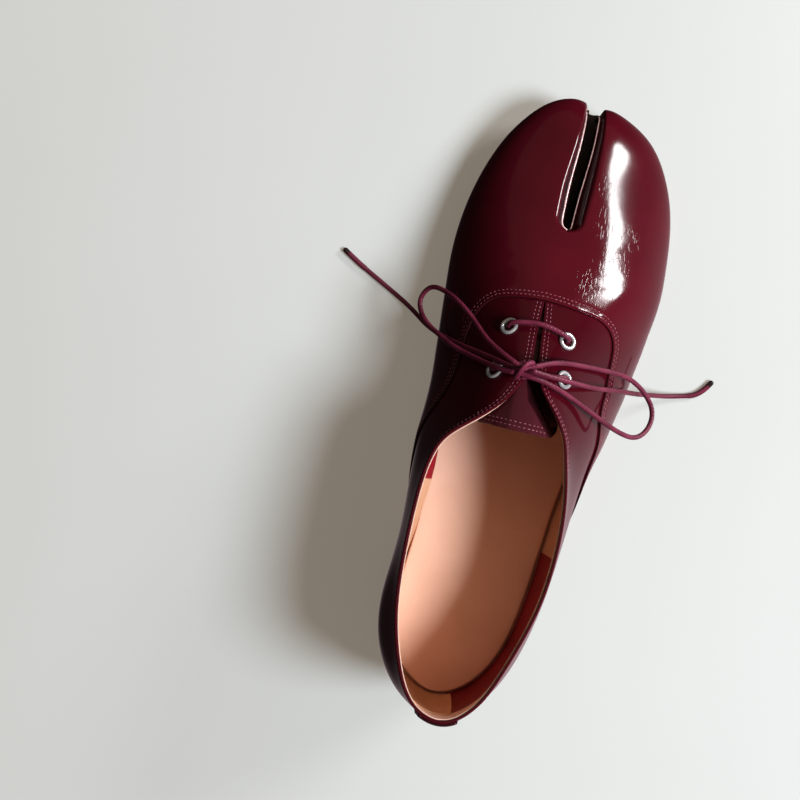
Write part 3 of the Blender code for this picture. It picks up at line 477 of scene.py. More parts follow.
# Fineness of the leather's meshes
VAMP_ROWS = 64
VAMP_STEP_ALONG = 0.85
BRIDGE_RIBS = 34
SEAM_STEP = 0.4
QUARTER_RIBS = 440
QUARTER_ROWS = 40
RIM_ROWS = 6
INNER_ROWS = 8

# Stitching: distances from an edge, and the thread
STITCH_PITCH = 1.75
STITCH_LENGTH = 1.15
STITCH_WIDTH = 0.42
STITCH_HEIGHT = 0.36
STITCH_SINK = 0.02
STITCH_SEGMENTS = 8
STITCH_RINGS = 6
SEAM_STITCH_STEP = 0.6
ROW_CLEAR = 2
SEAM_ROWS = (1.5, 3.1)
EDGE_ROWS = (1.3, 2.8)
TONGUE_STITCH_ROWS = (1.6, 3.4)
TROUGH_DEPTH = 0.12
TROUGH_WIDTH = 0.55
FACING_END = 108.0
COLLAR_STITCH_START = 16.0
SLIT_STITCH_END = 168.4
TONGUE_COLUMN = 20
TAB_STITCH_INSET = 2

# Soft creases of the worn vamp: a slightly bowed run in plan, its width and depth (a ridge is negative)
CREASE_BOW = 0.06
CREASES = [
    # start_x, start_y, end_x, end_y, width, depth
    (17.0, 175.0, 31.0, 180.5, 1.6, 0.03),
    (19.0, 181.5, 34.0, 186.0, 1.9, 0.06),
    (20.0, 178.5, 30.0, 182.5, 1.2, -0.02),
    (-21.0, 176.0, -5.0, 180.0, 2.4, 0.07),
    (-24.0, 184.0, -9.0, 187.5, 2.6, 0.06),
    (26.0, 196.0, 35.0, 204.0, 1.6, 0.05),
    (12.0, 190.0, 20.0, 196.0, 1.8, 0.05),
]

# Places where the patent film is worn into fine streaks, and how the streaks run
CRACKLE = [
    # x, y, radius, strength
    (20.0, 181.0, 8.0, 0.8),
    (21.0, 205.0, 7.0, 0.5),
    (33.0, 203.0, 6.0, 0.7),
    (18.0, 222.0, 5.0, 0.45),
    (29.0, 192.0, 6.0, 0.5),
]
STREAK_LEAN = 12.0
STREAK_SCALE = (1500.0, 260.0, 500.0)
STREAK_DEPTH = 0.035
STREAK_RANGE = (0.56, 0.68)

# Patent leather: its own roughness, the clear film over it, and two reliefs of the film
PATENT_ROUGH = 0.32
PATENT_MOTTLE = 28.0
FILM_ROUGH = 0.1
FILM_INDEX = 1.4
FILM_WAVES = {"scale": 55.0, "height": 0.05, "detail": 2.0}
FILM_PEEL = {"scale": 700.0, "height": 0.0025, "detail": 2.0}

# Other finishes: scales of the colour and relief, and the cord's dull sheen
MOTTLE_RANGE = (0.35, 0.65)
MOTTLE_DETAIL = 4.0
LEATHER_MOTTLE = 45.0
PORE_SCALE = 900.0
PORE_DEPTH = 0.03
LEATHER_GRAIN = {"scale": 260.0, "height": 0.03}
RELIEF_FINER = 6
CORD_ROUGH = 0.42
CORD_MOTTLE = 120.0
CORD_SHEEN = 0.1
CORD_SHEEN_ROUGH = 0.4

# Linings: the pale band below the collar, the heel grip, the panels' seams and the cove at the sole
BAND_HEIGHT = {"medial": 11.0, "lateral": 22.0}
BAND_BLEND = 40.0
GRIP_BELOW = 12.0
GRIP_ENDS = (-15.0, 7.5)
HEEL_SEAM = 5.5
RIM_BELOW = {"medial": 0.35, "lateral": 0.8}
COVE = [
    # y, depth at the sole
    (50.0, 0.0),
    (75.0, 2.2),
    (95.0, 4.2),
    (120.0, 5.0),
]
COVE_SHARE = 0.55
LINING_SEAMS = {"medial": 89.0, "lateral": 70.5}
BAND_LAP = 0.01
BAND_PROUD = 0.08
BAND_RIBS = 260
BAND_ROWS = 12
PANEL_RIBS = 80
PANEL_ROWS = 20
GRIP_FROM = 0.04
GRIP_THICK = 0.5
GRIP_RIBS = 40
GRIP_ROWS = 16
TOE_LINING_DEPTH = 0.2
TOE_LINING_FROM = 0.01
TOE_LINING_RIBS = 70
TOE_LINING_SHORT = 6
TOE_LINING_ROWS = 24

# Floor and backdrop: sizes in metres, the floor's relief in millimetres
FLOOR_HALF = 9.0
FLOOR_TONES = ((0.385, 0.395, 0.378), (0.409, 0.419, 0.402))
FLOOR_ROUGH = 0.75
FLOOR_MOTTLE = 3.0
FLOOR_RELIEF = 0.02
FLOOR_GLOW = (0.18, 0.157, 0.13, 1.0)
BACKDROP_RADIUS = 8.5
BACKDROP_SPAN = (-0.01, 6.0)
BACKDROP_STEPS = 64
BACKDROP_GLOW = (0.55, 0.54, 0.525, 1)
BLACK = (0, 0, 0, 1)

# Lights, aimed at one point of the vamp: degrees, metres and watts
LIGHTS = [
    # name, azimuth from +X to +Y, elevation, tilt, distance, width, height, power, colour,
    # seen in the gloss, receivers
    ("gloss_window", 37.8, 28.0, 19.0, 1.207, 0.517, 0.176, 11.0, (1.0, 1.0, 1.0), True, "off_facings"),
    ("side_window", -9.5, 49.5, 0.0, 1.5, 0.6, 0.6, 36.0, (0.92, 1.0, 1.1), False, None),
    ("ceiling_fill", 90.0, 88.0, 0.0, 2.9, 12.0, 12.0, 48.0, (1.0, 0.78, 0.53), True, None),
    ("split_light", 185.0, 62.0, 0.0, 1.2, 0.4, 0.4, 14.0, (1.0, 0.96, 0.95), True, "split_edge"),
]
LIGHT_AIM = (25.0, 205.0, 33.0)
RECEIVERS = {
    # pieces, how the light takes them
    "off_facings": (("quarters", "tongue_leather"), "EXCLUDE"),
    "split_edge": (("split_bead",), "INCLUDE"),
}

# Air round the stage: it is brightest in one direction
AIR_WAY = (0.8, 0.0, -0.6)
AIR = {"From Min": 0.2, "From Max": 1.0, "To Min": 0.02, "To Max": 0.6}
AIR_COLOUR = (1.0, 0.74, 0.78, 1.0)


def natural_spline(stations, rows):
    """Function of station for the smooth curve through the rows."""
    at = np.asarray(stations, float)
    values = np.asarray(rows, float)
    gap = np.diff(at)
    slope = np.diff(values, axis=0) / gap[:, None]
    count = len(at)
    system = np.eye(count)
    target = np.zeros_like(values)
    for i in range(1, count - 1):
        system[i, i - 1:i + 2] = gap[i - 1], 2 * (gap[i - 1] + gap[i]), gap[i]
        target[i] = 6 * (slope[i] - slope[i - 1])
    bend = np.linalg.solve(system, target)

    def read(station):
        station = np.atleast_1d(np.asarray(station, float))
        k = np.clip(np.searchsorted(at, station) - 1, 0, count - 2)
        left = (station - at[k])[:, None]
        right = (at[k + 1] - station)[:, None]
        width = gap[k][:, None]
        curved = (bend[k] * right**3 + bend[k + 1] * left**3) / (6 * width)
        from_left = (values[k] / width - bend[k] * width / 6) * right
        from_right = (values[k + 1] / width - bend[k + 1] * width / 6) * left
        return curved + from_left + from_right

    return read


def sole_top(y):
    """Height of the sole's upper face: heel seat, arch, flat ball and toe spring."""
    y = np.asarray(y, float)
    back = np.clip((BALL_BACK - y) / (BALL_BACK - SEAT_FRONT), 0, 1) ** ARCH_POWER
    front = np.clip((y - BALL_FRONT) / (SHOE_LENGTH - BALL_FRONT), 0, None) ** SPRING_POWER
    return SOLE_THICK + HEEL_RISE * back**2 * (3 - 2 * back) + TOE_SPRING * front


# One run of ribs, from the inner toe round the heel to the outer toe
RIB_SHAPES = np.array(
    [row[:6] for row in reversed(TOE_RIBS["medial"])]
    + [row[:6] for row in REAR_RIBS]
    + [row[:6] for row in TOE_RIBS["lateral"]]
)
STATIONS = np.concatenate(([0.0], np.cumsum(np.hypot(*np.diff(RIB_SHAPES[:, :2], axis=0).T))))
TOE_COUNT = len(TOE_RIBS["medial"])
SLIT_END = {"medial": STATIONS[TOE_COUNT], "lateral": STATIONS[-TOE_COUNT - 1]}
HEEL_STATION = STATIONS[TOE_COUNT + len(REAR_RIBS) // 2]
rib_shape = natural_spline(STATIONS, RIB_SHAPES)
collar = natural_spline(STATIONS[TOE_COUNT:-TOE_COUNT], [row[6:] for row in REAR_RIBS])
ridge_line = natural_spline([row[0] for row in RIDGE], [row[1:] for row in RIDGE])
slot_line = natural_spline([row[0] for row in SLOT], [row[1:] for row in SLOT])
TOE_TOPS = [row[6] for row in TOE_RIBS["medial"]]
toe_top = {
    "medial": natural_spline(
        STATIONS[:TOE_COUNT + 1], [[top] for top in reversed([RIDGE[0][0]] + TOE_TOPS)]
    ),
    "lateral": natural_spline(
        STATIONS[-TOE_COUNT - 1:], [[top] for top in [RIDGE[0][0]] + TOE_TOPS]
    ),
}


def bezier(a, b, c, d, t):
    """Cubic through a and d with handles at b and c."""
    return (1 - t)**3 * a + 3 * (1 - t)**2 * t * b + 3 * (1 - t) * t**2 * c + t**3 * d


def ridge(station):
    """Point on the vamp's ridge; past the nose's start the station follows its fall."""
    station = np.asarray(station, float)
    y = np.minimum(station, NOSE_START)
    x, z = ridge_line(y).T
    fall = np.clip((station - NOSE_START) / NOSE_RUN, 0, 1)
    tip_x, tip_y = TOE_RIBS["medial"][-1][:2]
    tip_z = float(sole_top(tip_y)) + GAP
    start_z = float(ridge_line(NOSE_START)[0, 1])
    slope = (RIDGE[-1][2] - RIDGE[-2][2]) / (RIDGE[-1][0] - RIDGE[-2][0])
    handle = NOSE_AHEAD * (tip_y - NOSE_START)
    nose_y = bezier(NOSE_START, NOSE_START + handle, tip_y + NOSE_FULL, tip_y, fall)
    nose_z = bezier(start_z, start_z + slope * handle, tip_z + NOSE_DROP * (start_z - tip_z), tip_z, fall)
    on_nose = station > NOSE_START
    x = np.where(on_nose, x + (tip_x - x) * fall, x)
    return np.stack([x, np.where(on_nose, nose_y, y), np.where(on_nose, nose_z, z)], axis=-1)


def rib_top(station):
    """Top point of the rib at a station: collar, slit edge or ridge."""
    on_medial_toe = station < SLIT_END["medial"]
    on_lateral_toe = station > SLIT_END["lateral"]
    inner = ridge(toe_top["medial"](np.minimum(station, SLIT_END["medial"]))[:, 0])
    outer = ridge(toe_top["lateral"](np.maximum(station, SLIT_END["lateral"]))[:, 0])
    rear = collar(np.clip(station, SLIT_END["medial"], SLIT_END["lateral"]))
    return np.where(on_medial_toe[:, None], inner, np.where(on_lateral_toe[:, None], outer, rear))


def dome(station, share):
    """Points of the upper's outer face: one rib per station, shares 0 at the sole to 1 at the top."""
    station = np.atleast_1d(np.asarray(station, float))
    share = np.asarray(share, float).reshape(len(station), -1)
    shape = rib_shape(station)
    ahead = rib_shape(station + SMALL_STEP)[:, :2] - rib_shape(station - SMALL_STEP)[:, :2]
    out = np.stack([ahead[:, 1], -ahead[:, 0]], axis=1)
    out /= np.linalg.norm(out, axis=1)[:, None]
    behind = np.minimum(station - SLIT_END["medial"], SLIT_END["lateral"] - station)
    level = np.clip(behind / TURN_RUN, 0, 1)
    away = np.stack([out[:, 0], np.minimum(out[:, 1], 0) * level], axis=1)
    away /= np.maximum(np.linalg.norm(away, axis=1), TINY_PLAN)[:, None]
    foot_z = sole_top(shape[:, 1]) + GAP
    foot = np.column_stack([shape[:, :2], foot_z])
    top = rib_top(station)
    low = foot + np.column_stack([out * shape[:, 2:3], shape[:, 3]])
    high = top + np.column_stack([away * shape[:, 4:5], -shape[:, 5]])
    parts = [p[:, None, :] for p in (foot, low, high, top)]
    return bezier(*parts, share[:, :, None])


def dome_normal(station, share):
    """Outward normals of the upper's outer face."""
    station = np.atleast_1d(np.asarray(station, float))
    share = np.asarray(share, float).reshape(len(station), -1)
    step = 4 * SMALL_STEP
    rise = 0.0005
    along = dome(station + step, share) - dome(station - step, share)
    up = dome(station, np.minimum(share + rise, 1)) - dome(station, np.maximum(share - rise, 0))
    normal = np.cross(along, up)
    return normal / np.maximum(np.linalg.norm(normal, axis=2), TINY)[:, :, None]


def slot_distance(points):
    """Plan distance of points from the middle line of the split, and the way towards it."""
    y = points[..., 1]
    centre = slot_line(np.clip(y, SLOT_ROOT, SHOE_LENGTH).ravel())[:, 0].reshape(y.shape)
    to_x = centre - points[..., 0]
    to_y = np.maximum(SLOT_ROOT - y, 0)
    distance = np.hypot(to_x, to_y)
    return distance, np.stack([to_x, to_y], axis=-1) / np.maximum(distance, TINY_PLAN)[..., None]


def slot_sizes(y):
    """Half width and lip of the split at a place along the foot."""
    return slot_line(np.clip(y, SLOT_ROOT, SHOE_LENGTH))[:, 1:]


def lip_share(station):
    """Share of the rib's height where the lip of the split begins."""
    shares = np.linspace(0, 1, RIB_SAMPLES)
    found = []
    for at in np.atleast_1d(station):
        points = dome(at, shares)[0]
        room = slot_distance(points)[0] - slot_sizes(points[:, 1]).sum(axis=1)
        inside = np.nonzero(room < 0)[0]
        if not len(inside):
            found.append(1.0)
        elif inside[0] == 0:
            found.append(0.0)
        else:
            k = inside[0]
            found.append(np.interp(0, [room[k], room[k - 1]], [shares[k], shares[k - 1]]))
    return np.array(found)


def seam_share(y):
    """Share of the rib's height where the vamp's edge lies over the quarter."""
    rows = np.array(SEAM)
    run = np.concatenate(([0.0], np.cumsum(np.hypot(np.diff(rows[:, 0]), SEAM_RUN * np.diff(rows[:, 1])))))
    fine = natural_spline(run, rows)(np.linspace(0, run[-1], RIB_SAMPLES))
    return np.clip(np.interp(y, fine[:, 0], fine[:, 1]), 0, 1)


def side_stations(side):
    """Dense stations from the heel to the toe tip on one side."""
    end = STATIONS[0] if side == "medial" else STATIONS[-1]
    return np.linspace(HEEL_STATION, end, SIDE_SAMPLES)


def station_at(side, y):
    """Station of the rib whose foot lies at a place along the foot, between heel and toes."""
    dense = side_stations(side)
    feet = rib_shape(dense)[:, 1]
    tip = np.argmax(feet)
    return np.interp(y, feet[:tip], dense[:tip])


def station_of_top(side, top):
    """Station of the toe rib that reaches a station along the ridge."""
    end = STATIONS[0] if side == "medial" else STATIONS[-1]
    dense = np.linspace(SLIT_END[side], end, SIDE_SAMPLES)
    return np.interp(top, toe_top[side](dense)[:, 0], dense)


def mouth_station(side):
    """Station of the last toe rib, whose foot is on the lip at the mouth of the split."""
    dense = side_stations(side)[SIDE_SAMPLES // 2:]
    feet = rib_shape(dense)[:, :2]
    room = slot_distance(feet)[0] - slot_sizes(feet[:, 1]).sum(axis=1)
    return np.interp(0, -room, dense)


def place(point):
    """Table millimetres to metres about the shoe's middle."""
    return Vector(((point[0] - MIDDLE[0]) * MM, (point[1] - MIDDLE[1]) * MM, point[2] * MM))


# Materials
def add_node(tree, kind, **settings):
    """Node with its properties and named inputs set."""
    node = tree.nodes.new(kind)
    for name, value in settings.items():
        if hasattr(node, name):
            setattr(node, name, value)
        else:
            node.inputs[name.replace("_", " ").title()].default_value = value
    return node


def finish_of(name, roughness, **sockets):
    """Material with one Principled shader and the given sockets."""
    material = bpy.data.materials.new(name)
    material.use_nodes = True
    shader = material.node_tree.nodes["Principled BSDF"]
    shader.inputs["Roughness"].default_value = roughness
    for socket, value in sockets.items():
        shader.inputs[socket.replace("_", " ")].default_value = value
    return material, material.node_tree, shader


def mottle(tree, shader, dark, light, scale):
    """Colour that wanders between two tones over the piece."""
    place_in = add_node(tree, "ShaderNodeTexCoord")
    noise = add_node(tree, "ShaderNodeTexNoise", scale=scale, detail=MOTTLE_DETAIL)
    ramp = add_node(tree, "ShaderNodeValToRGB")
    ramp.color_ramp.elements[0].position = MOTTLE_RANGE[0]
    ramp.color_ramp.elements[1].position = MOTTLE_RANGE[1]
    ramp.color_ramp.elements[0].color = (*dark, 1)
    ramp.color_ramp.elements[1].color = (*light, 1)
    tree.links.new(place_in.outputs["Object"], noise.inputs["Vector"])
    tree.links.new(noise.outputs["Fac"], ramp.inputs["Fac"])
    tree.links.new(ramp.outputs["Color"], shader.inputs["Base Color"])


def grain(tree, shader, scale, height, detail=3.0, before=None):
    """Fine noise relief, in millimetres of height."""
    place_in = add_node(tree, "ShaderNodeTexCoord")
    noise = add_node(tree, "ShaderNodeTexNoise", scale=scale, detail=detail)
    bump = add_node(tree, "ShaderNodeBump", distance=height * MM)
    tree.links.new(place_in.outputs["Object"], noise.inputs["Vector"])
    tree.links.new(noise.outputs["Fac"], bump.inputs["Height"])
    if before:
        tree.links.new(before.outputs["Normal"], bump.inputs["Normal"])
    tree.links.new(bump.outputs["Normal"], shader.inputs["Normal"])
    return bump


def pores(tree, shader, scale, height, before):
    """Small pits of smooth leather, over the relief before them."""
    place_in = add_node(tree, "ShaderNodeTexCoord")
    cells = add_node(tree, "ShaderNodeTexVoronoi", scale=scale)
    bump = add_node(tree, "ShaderNodeBump", distance=height * MM)
    tree.links.new(place_in.outputs["Object"], cells.inputs["Vector"])
    tree.links.new(cells.outputs["Distance"], bump.inputs["Height"])
    tree.links.new(before.outputs["Normal"], bump.inputs["Normal"])
    tree.links.new(bump.outputs["Normal"], shader.inputs["Normal"])


def patent_leather(name, dark, light):
    """Burgundy leather under a clear film: slow waves, orange peel, and hair streaks where it is worn."""
    material, tree, shader = finish_of(
        name, PATENT_ROUGH, Coat_Weight=1.0, Coat_Roughness=FILM_ROUGH, Coat_IOR=FILM_INDEX,
        Specular_IOR_Level=0.0,
    )
    mottle(tree, shader, dark, light, PATENT_MOTTLE)
    waves = grain(tree, shader, **FILM_WAVES)
    peel = grain(tree, shader, **FILM_PEEL, before=waves)
    place_in = add_node(tree, "ShaderNodeTexCoord")
    drawn = add_node(tree, "ShaderNodeMapping")
    drawn.inputs["Rotation"].default_value = (0, 0, math.radians(STREAK_LEAN))
    drawn.inputs["Scale"].default_value = STREAK_SCALE
    hairs = add_node(tree, "ShaderNodeTexNoise", scale=1.0, detail=2.0)
    thin = add_node(tree, "ShaderNodeMapRange", interpolation_type="SMOOTHSTEP")
    thin.inputs["From Min"].default_value = STREAK_RANGE[0]
    thin.inputs["From Max"].default_value = STREAK_RANGE[1]
    worn = add_node(tree, "ShaderNodeAttribute", attribute_name="crackle")
    depth = add_node(tree, "ShaderNodeMath", operation="MULTIPLY")
    streaks = add_node(tree, "ShaderNodeBump", distance=STREAK_DEPTH * MM)
    tree.links.new(place_in.outputs["Object"], drawn.inputs["Vector"])
    tree.links.new(drawn.outputs["Vector"], hairs.inputs["Vector"])
    tree.links.new(hairs.outputs["Fac"], thin.inputs["Value"])
    tree.links.new(thin.outputs["Result"], depth.inputs[0])
    tree.links.new(worn.outputs["Fac"], depth.inputs[1])
    tree.links.new(depth.outputs["Value"], streaks.inputs["Height"])
    tree.links.new(peel.outputs["Normal"], streaks.inputs["Normal"])
    tree.links.new(streaks.outputs["Normal"], shader.inputs["Normal"])
    tree.links.new(streaks.outputs["Normal"], shader.inputs["Coat Normal"])
    return material


def smooth_leather(name, dark, light, roughness, pore_scale=PORE_SCALE, pore_depth=PORE_DEPTH):
    """Uncoated leather with pores and slow colour changes."""
    material, tree, shader = finish_of(name, roughness)
    mottle(tree, shader, dark, light, LEATHER_MOTTLE)
    base = grain(tree, shader, **LEATHER_GRAIN)
    pores(tree, shader, pore_scale, pore_depth, base)
    return material


def plain_finish(name, dark, light, roughness, scale, height, **sockets):
    """Finish with a two tone colour and a fine relief."""
    material, tree, shader = finish_of(name, roughness, **sockets)
    mottle(tree, shader, dark, light, scale)
    grain(tree, shader, scale * RELIEF_FINER, height)
    return material


def waxed_cord(name, dark, light):
    """Round braided cord: two sets of strands wind round it, read from the cord's own map."""
    material, tree, shader = finish_of(
        name, CORD_ROUGH, Sheen_Weight=CORD_SHEEN, Sheen_Roughness=CORD_SHEEN_ROUGH
    )
    shader.inputs["Sheen Tint"].default_value = (*light, 1)
    mottle(tree, shader, dark, light, CORD_MOTTLE)
    uv = add_node(tree, "ShaderNodeUVMap")
    parts = add_node(tree, "ShaderNodeSeparateXYZ")
    tree.links.new(uv.outputs["UV"], parts.inputs["Vector"])
    heights = []
    for way in (1.0, -1.0):
        round_it = add_node(tree, "ShaderNodeMath", operation="MULTIPLY")
        round_it.inputs[1].default_value = way * STRANDS
        total = add_node(tree, "ShaderNodeMath", operation="ADD")
        turn = add_node(tree, "ShaderNodeMath", operation="MULTIPLY")
        turn.inputs[1].default_value = 2 * math.pi
        wave = add_node(tree, "ShaderNodeMath", operation="SINE")
        tree.links.new(parts.outputs["X"], round_it.inputs[0])
        tree.links.new(round_it.outputs["Value"], total.inputs[0])
        tree.links.new(parts.outputs["Y"], total.inputs[1])
        tree.links.new(total.outputs["Value"], turn.inputs[0])
        tree.links.new(turn.outputs["Value"], wave.inputs[0])
        heights.append(wave)
    over = add_node(tree, "ShaderNodeMath", operation="MAXIMUM")
    bump = add_node(tree, "ShaderNodeBump", distance=BRAID_DEPTH * MM)
    tree.links.new(heights[0].outputs["Value"], over.inputs[0])
    tree.links.new(heights[1].outputs["Value"], over.inputs[1])
    tree.links.new(over.outputs["Value"], bump.inputs["Height"])
    tree.links.new(bump.outputs["Normal"], shader.inputs["Normal"])
    return material


# Finishes: name, dark tone, light tone, then roughness, scale and height of the relief where they vary
PATENT = patent_leather("patent_burgundy", (0.050, 0.0018, 0.0050), (0.068, 0.0027, 0.0073))
TONGUE_PATENT = patent_leather("patent_tongue", (0.048, 0.006, 0.010), (0.064, 0.009, 0.014))
TAB_PATENT = patent_leather("patent_tab", (0.014, 0.0016, 0.0026), (0.024, 0.0022, 0.004))
# Dark paint of the leather's cut edges; the same finish is also painted shade inside the split and on the
# tongue's folded side
EDGE_PAINT_AND_SHADE = plain_finish("edge_paint_and_shade", (0.012, 0.002, 0.003), (0.025, 0.004, 0.006), 0.4, 300.0, 0.02)
CRIMSON = smooth_leather("crimson_lining", (0.17, 0.004, 0.008), (0.24, 0.007, 0.014), 0.55)
BLUSH = smooth_leather("collar_lining", (0.58, 0.34, 0.25), (0.68, 0.42, 0.32), 0.6)
GRIP = smooth_leather("heel_grip_suede", (0.58, 0.30, 0.16), (0.66, 0.35, 0.19), 0.85, 1500.0, 0.05)
INSOLE = smooth_leather("insole_tan", (0.83, 0.49, 0.34), (0.88, 0.535, 0.38), 0.5)
TAN = smooth_leather("tan_lining", (0.50, 0.25, 0.14), (0.58, 0.30, 0.17), 0.55)
SOLE = smooth_leather("sole_leather", (0.46, 0.26, 0.19), (0.56, 0.33, 0.25), 0.5)
STACK = plain_finish(
    "heel_stack", (0.018, 0.006, 0.005), (0.04, 0.014, 0.011), 0.28, 130.0, 0.02, Coat_Weight=0.4
)
RUBBER = plain_finish("lift_rubber", (0.012, 0.011, 0.011), (0.02, 0.018, 0.018), 0.7, 500.0, 0.04)
STEEL = plain_finish(
    "eyelet_steel", (0.62, 0.61, 0.60), (0.74, 0.73, 0.72), 0.22, 350.0, 0.004, Metallic=0.7
)
CORD = waxed_cord("waxed_cord", (0.085, 0.008, 0.021), (0.145, 0.017, 0.039))
TIP = plain_finish("lace_tip", (0.012, 0.004, 0.005), (0.02, 0.007, 0.008), 0.35, 300.0, 0.02)
THREAD = plain_finish(
    "thread", (0.15, 0.033, 0.048), (0.26, 0.075, 0.10), 0.35, 900.0, 0.03,
    Coat_Weight=0.6, Coat_Roughness=0.2,
)
# Pale pink tone of the bead in the split: painted highlight for the bright line along the split's edges,
# which the split light adds to
BEAD_PAINTED_HIGHLIGHT = plain_finish(
    "split_bead", (0.46, 0.27, 0.26), (0.62, 0.40, 0.38), 0.25, 400.0, 0.01, Coat_Weight=1.0
)


# Mesh helpers
def row_frame(points):
    """Table millimetres to metres about the shoe's middle, for arrays of points."""
    return (np.asarray(points, float) - (*MIDDLE, 0.0)) * MM


def table_points(points):
    """Metres about the shoe's middle back to table millimetres."""
    return np.array(points) / MM + (*MIDDLE, 0.0)


def grid_faces(rows, columns, start=0, closed=False):
    """Quads of a grid counted row by row; a closed grid joins each row's two ends."""
    i, k = np.meshgrid(np.arange(rows - 1), np.arange(columns if closed else columns - 1), indexing="ij")
    after = (k + 1) % columns
    corners = (i * columns + k, (i + 1) * columns + k, (i + 1) * columns + after, i * columns + after)
    return start + np.stack([c.ravel() for c in corners], axis=1)


def mesh_of(name, points, faces):
    """Mesh from points in metres and faces."""
    mesh = bpy.data.meshes.new(name)
    mesh.from_pydata(np.asarray(points).tolist(), [], [list(map(int, face)) for face in faces])
    mesh.update()
    return mesh


def clean(mesh, recalculate=True, smooth=EDGE_SMOOTH):
    """Weld doubles, turn faces out and shade smooth up to an angle."""
    bm = bmesh.new()
    bm.from_mesh(mesh)
    bmesh.ops.remove_doubles(bm, verts=bm.verts, dist=WELD)
    bmesh.ops.dissolve_degenerate(bm, edges=bm.edges, dist=WELD)
    if recalculate:
        bmesh.ops.recalc_face_normals(bm, faces=bm.faces)
    bm.to_mesh(mesh)
    bm.free()
    mesh.shade_smooth()
    mesh.set_sharp_from_angle(angle=math.radians(smooth))
    return mesh


def loft(name, sections, smooth=EDGE_SMOOTH, capped=True):
    """Closed mesh through closed sections with the same number of points."""
    sections = np.asarray(sections, float)
    count, size = sections.shape[:2]
    faces = grid_faces(count, size, closed=True).tolist()
    if capped:
        faces.append(list(range(size)))
        faces.append(list(range((count - 1) * size, count * size)))
    return clean(mesh_of(name, row_frame(sections.reshape(-1, 3)), faces), smooth=smooth)


def piece(name, mesh, materials, nodes=()):
    """Object that rides with the shoe and stands for the named CAD nodes."""
    for material in materials:
        mesh.materials.append(material)
    obj = bpy.data.objects.new(name, mesh)
    bpy.context.scene.collection.objects.link(obj)
    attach(obj, BODY)
    if nodes:
        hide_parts(*nodes)
    return obj


def unit(vectors):
    """Vectors of length one."""
    vectors = np.asarray(vectors, float)
    return vectors / np.maximum(np.linalg.norm(vectors, axis=-1, keepdims=True), TINY)


def spaced(places, weights, step):
    """Places chosen so that neighbours are about a step apart in the running weight."""
    run = np.concatenate(([0.0], np.cumsum(weights)))
    count = int(math.ceil(run[-1] / step)) + 1
    return np.interp(np.linspace(0, run[-1], count), run, places)


def running_length(points):
    """Length along a line of points, counted from its first."""
    return np.concatenate(([0.0], np.cumsum(np.linalg.norm(np.diff(points, axis=0), axis=1))))


def route_points(points, step):
    """Places about a step apart along a smooth curve through a route's points."""
    points = np.array(points, float)
    run = running_length(points)
    count = max(2, int(round(run[-1] / step)) + 1)
    return natural_spline(run, points)(np.linspace(0, run[-1], count))


def tube(name, path, radius, sides=CORD_SIDES):
    """Round cord along a path in table millimetres, with rounded ends and a map along it."""
    path = np.asarray(path, float)
    ahead = unit(np.gradient(path, axis=0))
    across = np.zeros_like(path)
    first = np.cross(ahead[0], (0.0, 0.0, 1.0))
    across[0] = unit(first if np.linalg.norm(first) > UPRIGHT else np.cross(ahead[0], (0.0, 1.0, 0.0)))
    for k in range(1, len(path)):
        side = across[k - 1] - ahead[k] * np.dot(across[k - 1], ahead[k])
        across[k] = unit(side)
    up = np.cross(ahead, across)
    run = running_length(path)
    turns = np.linspace(0, math.pi / 2, CORD_CAP_ROWS + 1)[1:]
    rings = []
    for turn in turns[::-1]:
        rings.append((0, -radius * math.sin(turn), radius * math.cos(turn)))
    rings += [(k, 0.0, radius) for k in range(len(path))]
    for turn in turns:
        rings.append((len(path) - 1, radius * math.sin(turn), radius * math.cos(turn)))
    angles = np.linspace(0, 2 * math.pi, sides, endpoint=False)
    points = []
    along = []
    for k, forward, wide in rings:
        centre = path[k] + ahead[k] * forward
        spokes = np.outer(np.cos(angles), across[k]) + np.outer(np.sin(angles), up[k])
        points.append(centre + wide * spokes)
        along.append(run[k] + forward)
    faces = grid_faces(len(rings), sides, closed=True)
    mesh = mesh_of(name, row_frame(np.concatenate(points)), faces)
    layer = mesh.uv_layers.new(name="UVMap")
    coords = np.empty((len(faces), 4, 2))
    ring, spoke = np.divmod(faces, sides)
    spoke = np.where((spoke == 0) & (spoke.max(axis=1, keepdims=True) == sides - 1), sides, spoke)
    coords[:, :, 0] = spoke / sides
    coords[:, :, 1] = np.array(along)[ring] / BRAID_PITCH
    layer.data.foreach_set("uv", coords.ravel())
    return clean(mesh, smooth=SOFT_SMOOTH)


def joined(name, meshes):
    """One mesh from several."""
    bm = bmesh.new()
    for mesh in meshes:
        bm.from_mesh(mesh)
    mesh = bpy.data.meshes.new(name)
    bm.to_mesh(mesh)
    bm.free()
    mesh.shade_smooth()
    return mesh


def surface_tree(points, faces):
    """Search tree of a surface in metres."""
    return BVHTree.FromPolygons([Vector(p) for p in points], [list(map(int, f)) for f in faces])


# Camera and cords
def make_camera():
    """Camera straight above, rolled as the shoe lies in the picture."""
    data = bpy.data.cameras.new("camera")
    data.sensor_fit = "HORIZONTAL"
    data.sensor_width = SENSOR
    data.lens = FOCAL_PIXELS / IMAGE_PIXELS * SENSOR
    data.clip_end = FAR_CLIP
    camera = bpy.data.objects.new("camera", data)
    camera.location = place((*CAMERA_PLAN, CAMERA_HEIGHT))
    camera.rotation_euler = (0, 0, math.radians(CAMERA_ROLL))
    bpy.context.scene.collection.objects.link(camera)
    bpy.context.scene.camera = camera


def on_upper(side, x, y):
    """Point and outward normal of the upper's outer face over a place in plan."""
    shares = np.linspace(0, 1, 2 * RIB_SAMPLES)
    aim = y
    for _ in range(PLACE_ROUNDS):
        station = station_at(side, aim)
        rib = dome(station, shares)[0]
        k = int(np.argmin(np.abs(rib[:, 0] - x)))
        aim += y - rib[k, 1]
    return rib[k], dome_normal(station, shares[k])[0, 0]


